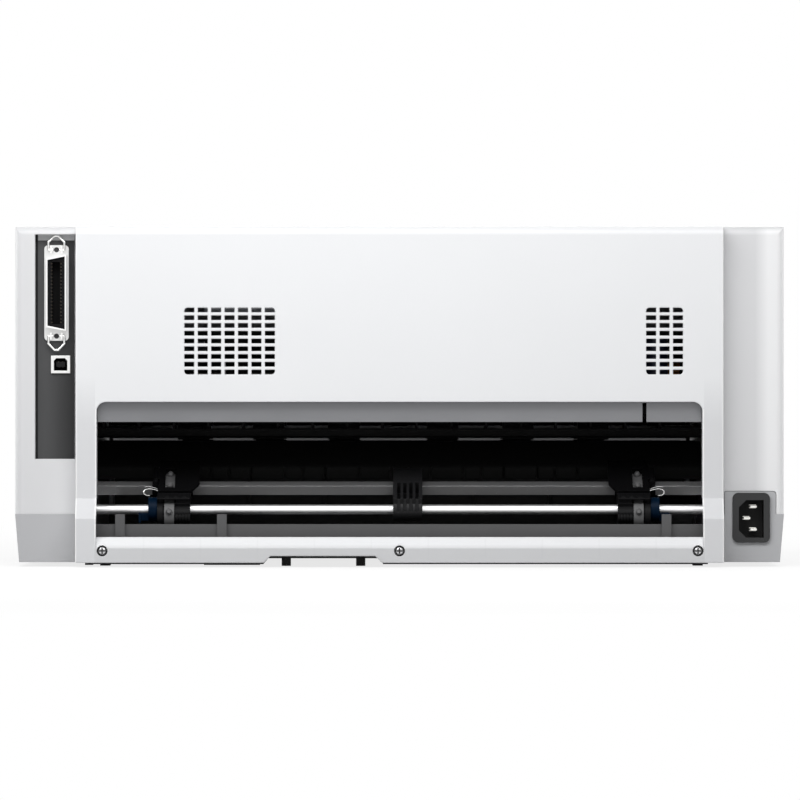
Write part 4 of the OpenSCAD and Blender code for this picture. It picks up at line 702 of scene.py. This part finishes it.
def port_contacts():
    """Two rows of gilt contact strips standing in the slots of the parallel port's core."""
    edit = bmesh.new()
    for side in (-1, 1):
        for k in range(PORT_CONTACTS):
            z = PORT[2] + (k - (PORT_CONTACTS - 1) / 2) * PORT_PITCH
            inner, outer = PORT[0] + side * 2.45, PORT[0] + side * 3.3
            bar_between(edit, (min(inner, outer), PORT[1] - 2.5, z - 0.35),
                        (max(inner, outer), PORT[1] + 4.6, z + 0.35), 0.15)
    gilt = sheet_metal("contact_gilt", (0.10, 0.09, 0.07), 0.35, along=(20.0, 1.0, 20.0))
    keep("port_contacts", edit, gilt, "root")
    return gilt


def usb_contacts(gilt):
    """Four contact strips on the tongue of the square socket."""
    edit = bmesh.new()
    for z, x in ((1.6, -1.25), (1.6, 1.25), (-1.6, -1.25), (-1.6, 1.25)):
        lift = math.copysign(0.18, z)
        low, high = sorted((USB[2] + z - lift, USB[2] + z + lift))
        bar_between(edit, (USB[0] + x - 0.5, USB[1] - 11.0, low),
                    (USB[0] + x + 0.5, USB[1] - 0.4, high), 0.1)
    keep("usb_contacts", edit, gilt, "root")


def tractor_clip(body):
    """The chromed wire spring of a tractor: an open hook over its lock lever and one straight leg."""
    middle_x, side = TRACTORS[body]
    edit = bmesh.new()
    hook = [(6.5, 143.5, 46.7), (9.6, 143.6, 47.6), (12.8, 143.8, 48.2), (15.2, 144.0, 47.7),
            (16.4, 144.2, 46.4), (16.2, 144.3, 45.0), (14.8, 144.3, 44.1), (12.6, 144.2, 43.9)]
    leg = [(6.8, 140.6, 47.6), (10.4, 141.0, 49.0), (13.6, 141.4, 49.6), (15.9, 141.8, 49.2)]
    for path, thick in ((hook, 0.8), (leg, 0.5)):
        bent_wire(edit, [(middle_x + side * x, y, z) for x, y, z in path], thick)
    keep(f"wire_clip_{body.rsplit('_', 1)[1]}", edit, FINISH["wire"], body)


def belt_shoe(body):
    """The black strap across a tractor's belt below its door, on a leg at either side of the belt."""
    middle_x, side = TRACTORS[body]
    edit = bmesh.new()
    bar_between(edit, (-13.0, -2.0, 12.2), (7.5, 4.6, 13.6), 0.4)
    bar_between(edit, (-13.0, -1.4, 9.2), (-4.2, 3.6, 12.6), 0.3)
    bar_between(edit, (4.2, 0.6, 8.4), (7.5, 4.0, 12.6), 0.3)
    for k in range(3):
        bar_between(edit, (-11.0 + 5.4 * k, -0.9, 13.4), (-8.2 + 5.4 * k, 3.4, 14.0), 0.25)
    down_slope = (0.0, -math.cos(BELT_ANGLE), math.sin(BELT_ANGLE))
    off_slope = (0.0, math.sin(BELT_ANGLE), math.cos(BELT_ANGLE))
    turn = Matrix(((side, 0.0, 0.0), down_slope, off_slope)).transposed().to_4x4()
    place = Matrix.Translation(Vector((middle_x, *BELT_NOSE)) * MM)
    bmesh.ops.transform(edit, matrix=place @ turn, verts=edit.verts)
    keep(f"belt_shoe_{body.rsplit('_', 1)[1]}", edit, FINISH["tractor"], body)


def support_web():
    """The solid back of the middle sheet support, behind its ribs."""
    edit = bmesh.new()
    bar_between(edit, (-14.1, 154.2, 33.6), (3.8, 155.6, 42.0), 0.2)
    keep("support_web", edit, FINISH["black"], "sheet_support")


def indicator_lamps():
    """Three green lamp lenses in the bezel's holes."""
    edit = bmesh.new()
    z = SLOPE_TOP[1] - (SLOPE_TOP[0] - LAMP_Y) * math.tan(SLOPE)
    for x in KEY_X:
        dome = bmesh.ops.create_uvsphere(edit, u_segments=24, v_segments=12, radius=1.15 * MM)["verts"]
        bmesh.ops.scale(edit, vec=(1, 1, 0.9), verts=dome)
        bmesh.ops.translate(edit, vec=Vector((x, LAMP_Y, z - 0.75)) * MM, verts=dome)
    lens = Finish("lamp_lens", (0.05, 0.42, 0.10), 0.18, IOR=1.5, Transmission_Weight=0.4)
    milk = lens.noise(1500.0, 3.0, 0.6)
    lens.feed("Base Color", lens.blend(milk, (0.04, 0.36, 0.08), (0.08, 0.5, 0.14)))
    lens.feed("Roughness", milk * 0.1 + 0.12)
    keep("indicator_lamps", edit, lens.material, "root")


gilt = port_contacts()
usb_contacts(gilt)
for tractor in TRACTORS:
    tractor_clip(tractor)
    belt_shoe(tractor)
support_web()
indicator_lamps()


# ---- Studio ----

SCALE = 1.606
FRAME_PIXELS = 800
VIEW_DISTANCE = 4.5
CAMERA_X = -0.3
CAMERA_Z = 103.8
LENS_SENSOR = 36.0
FLOOR_REACH = 20.0
FLOOR_DROP = 0.0002
SHADOW_NEAR = 0.35
SHADOW_FAR = 1.2
SHADOW_GLOW = 0.78
AIR_LIGHT = 0.24
WHITE = (1.0, 1.0, 1.0, 1.0)
# name: (place, point aimed at, width and height, watts)
SOFTBOXES = {
    "rear_softbox": ((0.14, 0.77, 0.66), (0, 0.17, 0.13), (1.3, 0.35), 8.1),
    "front_softbox": ((-0.3, -1.6, 0.8), (0, 0, 0.1), (1.6, 0.7), 11.5),
    "left_softbox": ((-1.6, -0.35, 0.35), (0, -0.05, 0.1), (0.8, 0.4), 8.0),
    "right_softbox": ((1.6, -0.35, 0.35), (0, -0.05, 0.1), (0.8, 0.4), 8.0),
}


def studio_paper():
    """Pale paper that looks white away from the object and keeps the object's shadow near it."""
    paper = Finish("studio_paper", (0.5, 0.5, 0.5), 0.9)
    seen = paper.plainly_seen()
    x, y, _ = paper.where()
    away = (x * x + y * y).op("SQRT")
    fade = ((away - SHADOW_NEAR) / (SHADOW_FAR - SHADOW_NEAR)).op("ADD", 0.0, clamp=True)
    paper.feed("Base Color", paper.blend(seen, (0.45, 0.45, 0.45), WHITE))
    glow = paper.node("ShaderNodeEmission", None, {"Color": WHITE, "Strength": 1.0})
    mix = paper.node("ShaderNodeMixShader", None, {
        0: seen * (fade * (1 - SHADOW_GLOW) + SHADOW_GLOW),
        1: Term(paper, paper.shader.outputs[0]), 2: Term(paper, glow.outputs[0])})
    paper.tree.links.new(mix.outputs[0], paper.output.inputs["Surface"])
    return paper.material


def studio_floor(scene):
    edit = bmesh.new()
    bmesh.ops.create_grid(edit, x_segments=1, y_segments=1, size=FLOOR_REACH)
    bmesh.ops.translate(edit, vec=(0, 0, -FLOOR_DROP), verts=edit.verts)
    ground = bpy.data.meshes.new("studio_floor")
    edit.to_mesh(ground)
    edit.free()
    ground.materials.append(studio_paper())
    floor = bpy.data.objects.new("studio_floor", ground)
    scene.collection.objects.link(floor)


def studio_air(scene):
    """Soft light from all round, which looks white to the camera and in metal and glass."""
    world = bpy.data.worlds.new("studio_air")
    scene.world = world
    world.use_nodes = True
    air = Shading(world.node_tree)
    soft = air.tree.nodes["Background"]
    soft.inputs["Color"].default_value = WHITE
    soft.inputs["Strength"].default_value = AIR_LIGHT
    white = air.node("ShaderNodeBackground", None, {"Color": WHITE, "Strength": 1.0})
    mixed = air.node("ShaderNodeMixShader", None, {
        0: air.plainly_seen(), 1: Term(air, soft.outputs[0]), 2: Term(air, white.outputs[0])})
    air.tree.links.new(mixed.outputs[0], air.tree.nodes["World Output"].inputs["Surface"])


def softbox(scene, name, place, aim, size, watts):
    lamp = bpy.data.lights.new(name, "AREA")
    lamp.shape = "RECTANGLE"
    lamp.size, lamp.size_y = size
    lamp.energy = watts
    holder = bpy.data.objects.new(name, lamp)
    holder.location = place
    holder.rotation_mode = "QUATERNION"
    holder.rotation_quaternion = (Vector(aim) - Vector(place)).to_track_quat("-Z", "Y")
    scene.collection.objects.link(holder)


def photo_camera(scene):
    """Straight behind the printer, level, at the photo's scale on the cover's rear face."""
    lens = bpy.data.cameras.new("photo_camera")
    lens.sensor_width = LENS_SENSOR
    lens.lens = LENS_SENSOR * VIEW_DISTANCE / (FRAME_PIXELS / SCALE * MM)
    lens.clip_start, lens.clip_end = 0.1, 100.0
    camera = bpy.data.objects.new("photo_camera", lens)
    camera.location = (CAMERA_X * MM, FACE_Y * MM + VIEW_DISTANCE, CAMERA_Z * MM)
    camera.rotation_euler = (math.radians(90), 0, math.radians(180))
    scene.collection.objects.link(camera)
    scene.camera = camera


def studio():
    scene = bpy.context.scene
    scene.view_settings.view_transform = "Standard"
    studio_floor(scene)
    studio_air(scene)
    for name, row in SOFTBOXES.items():
        softbox(scene, name, *row)
    photo_camera(scene)


studio()
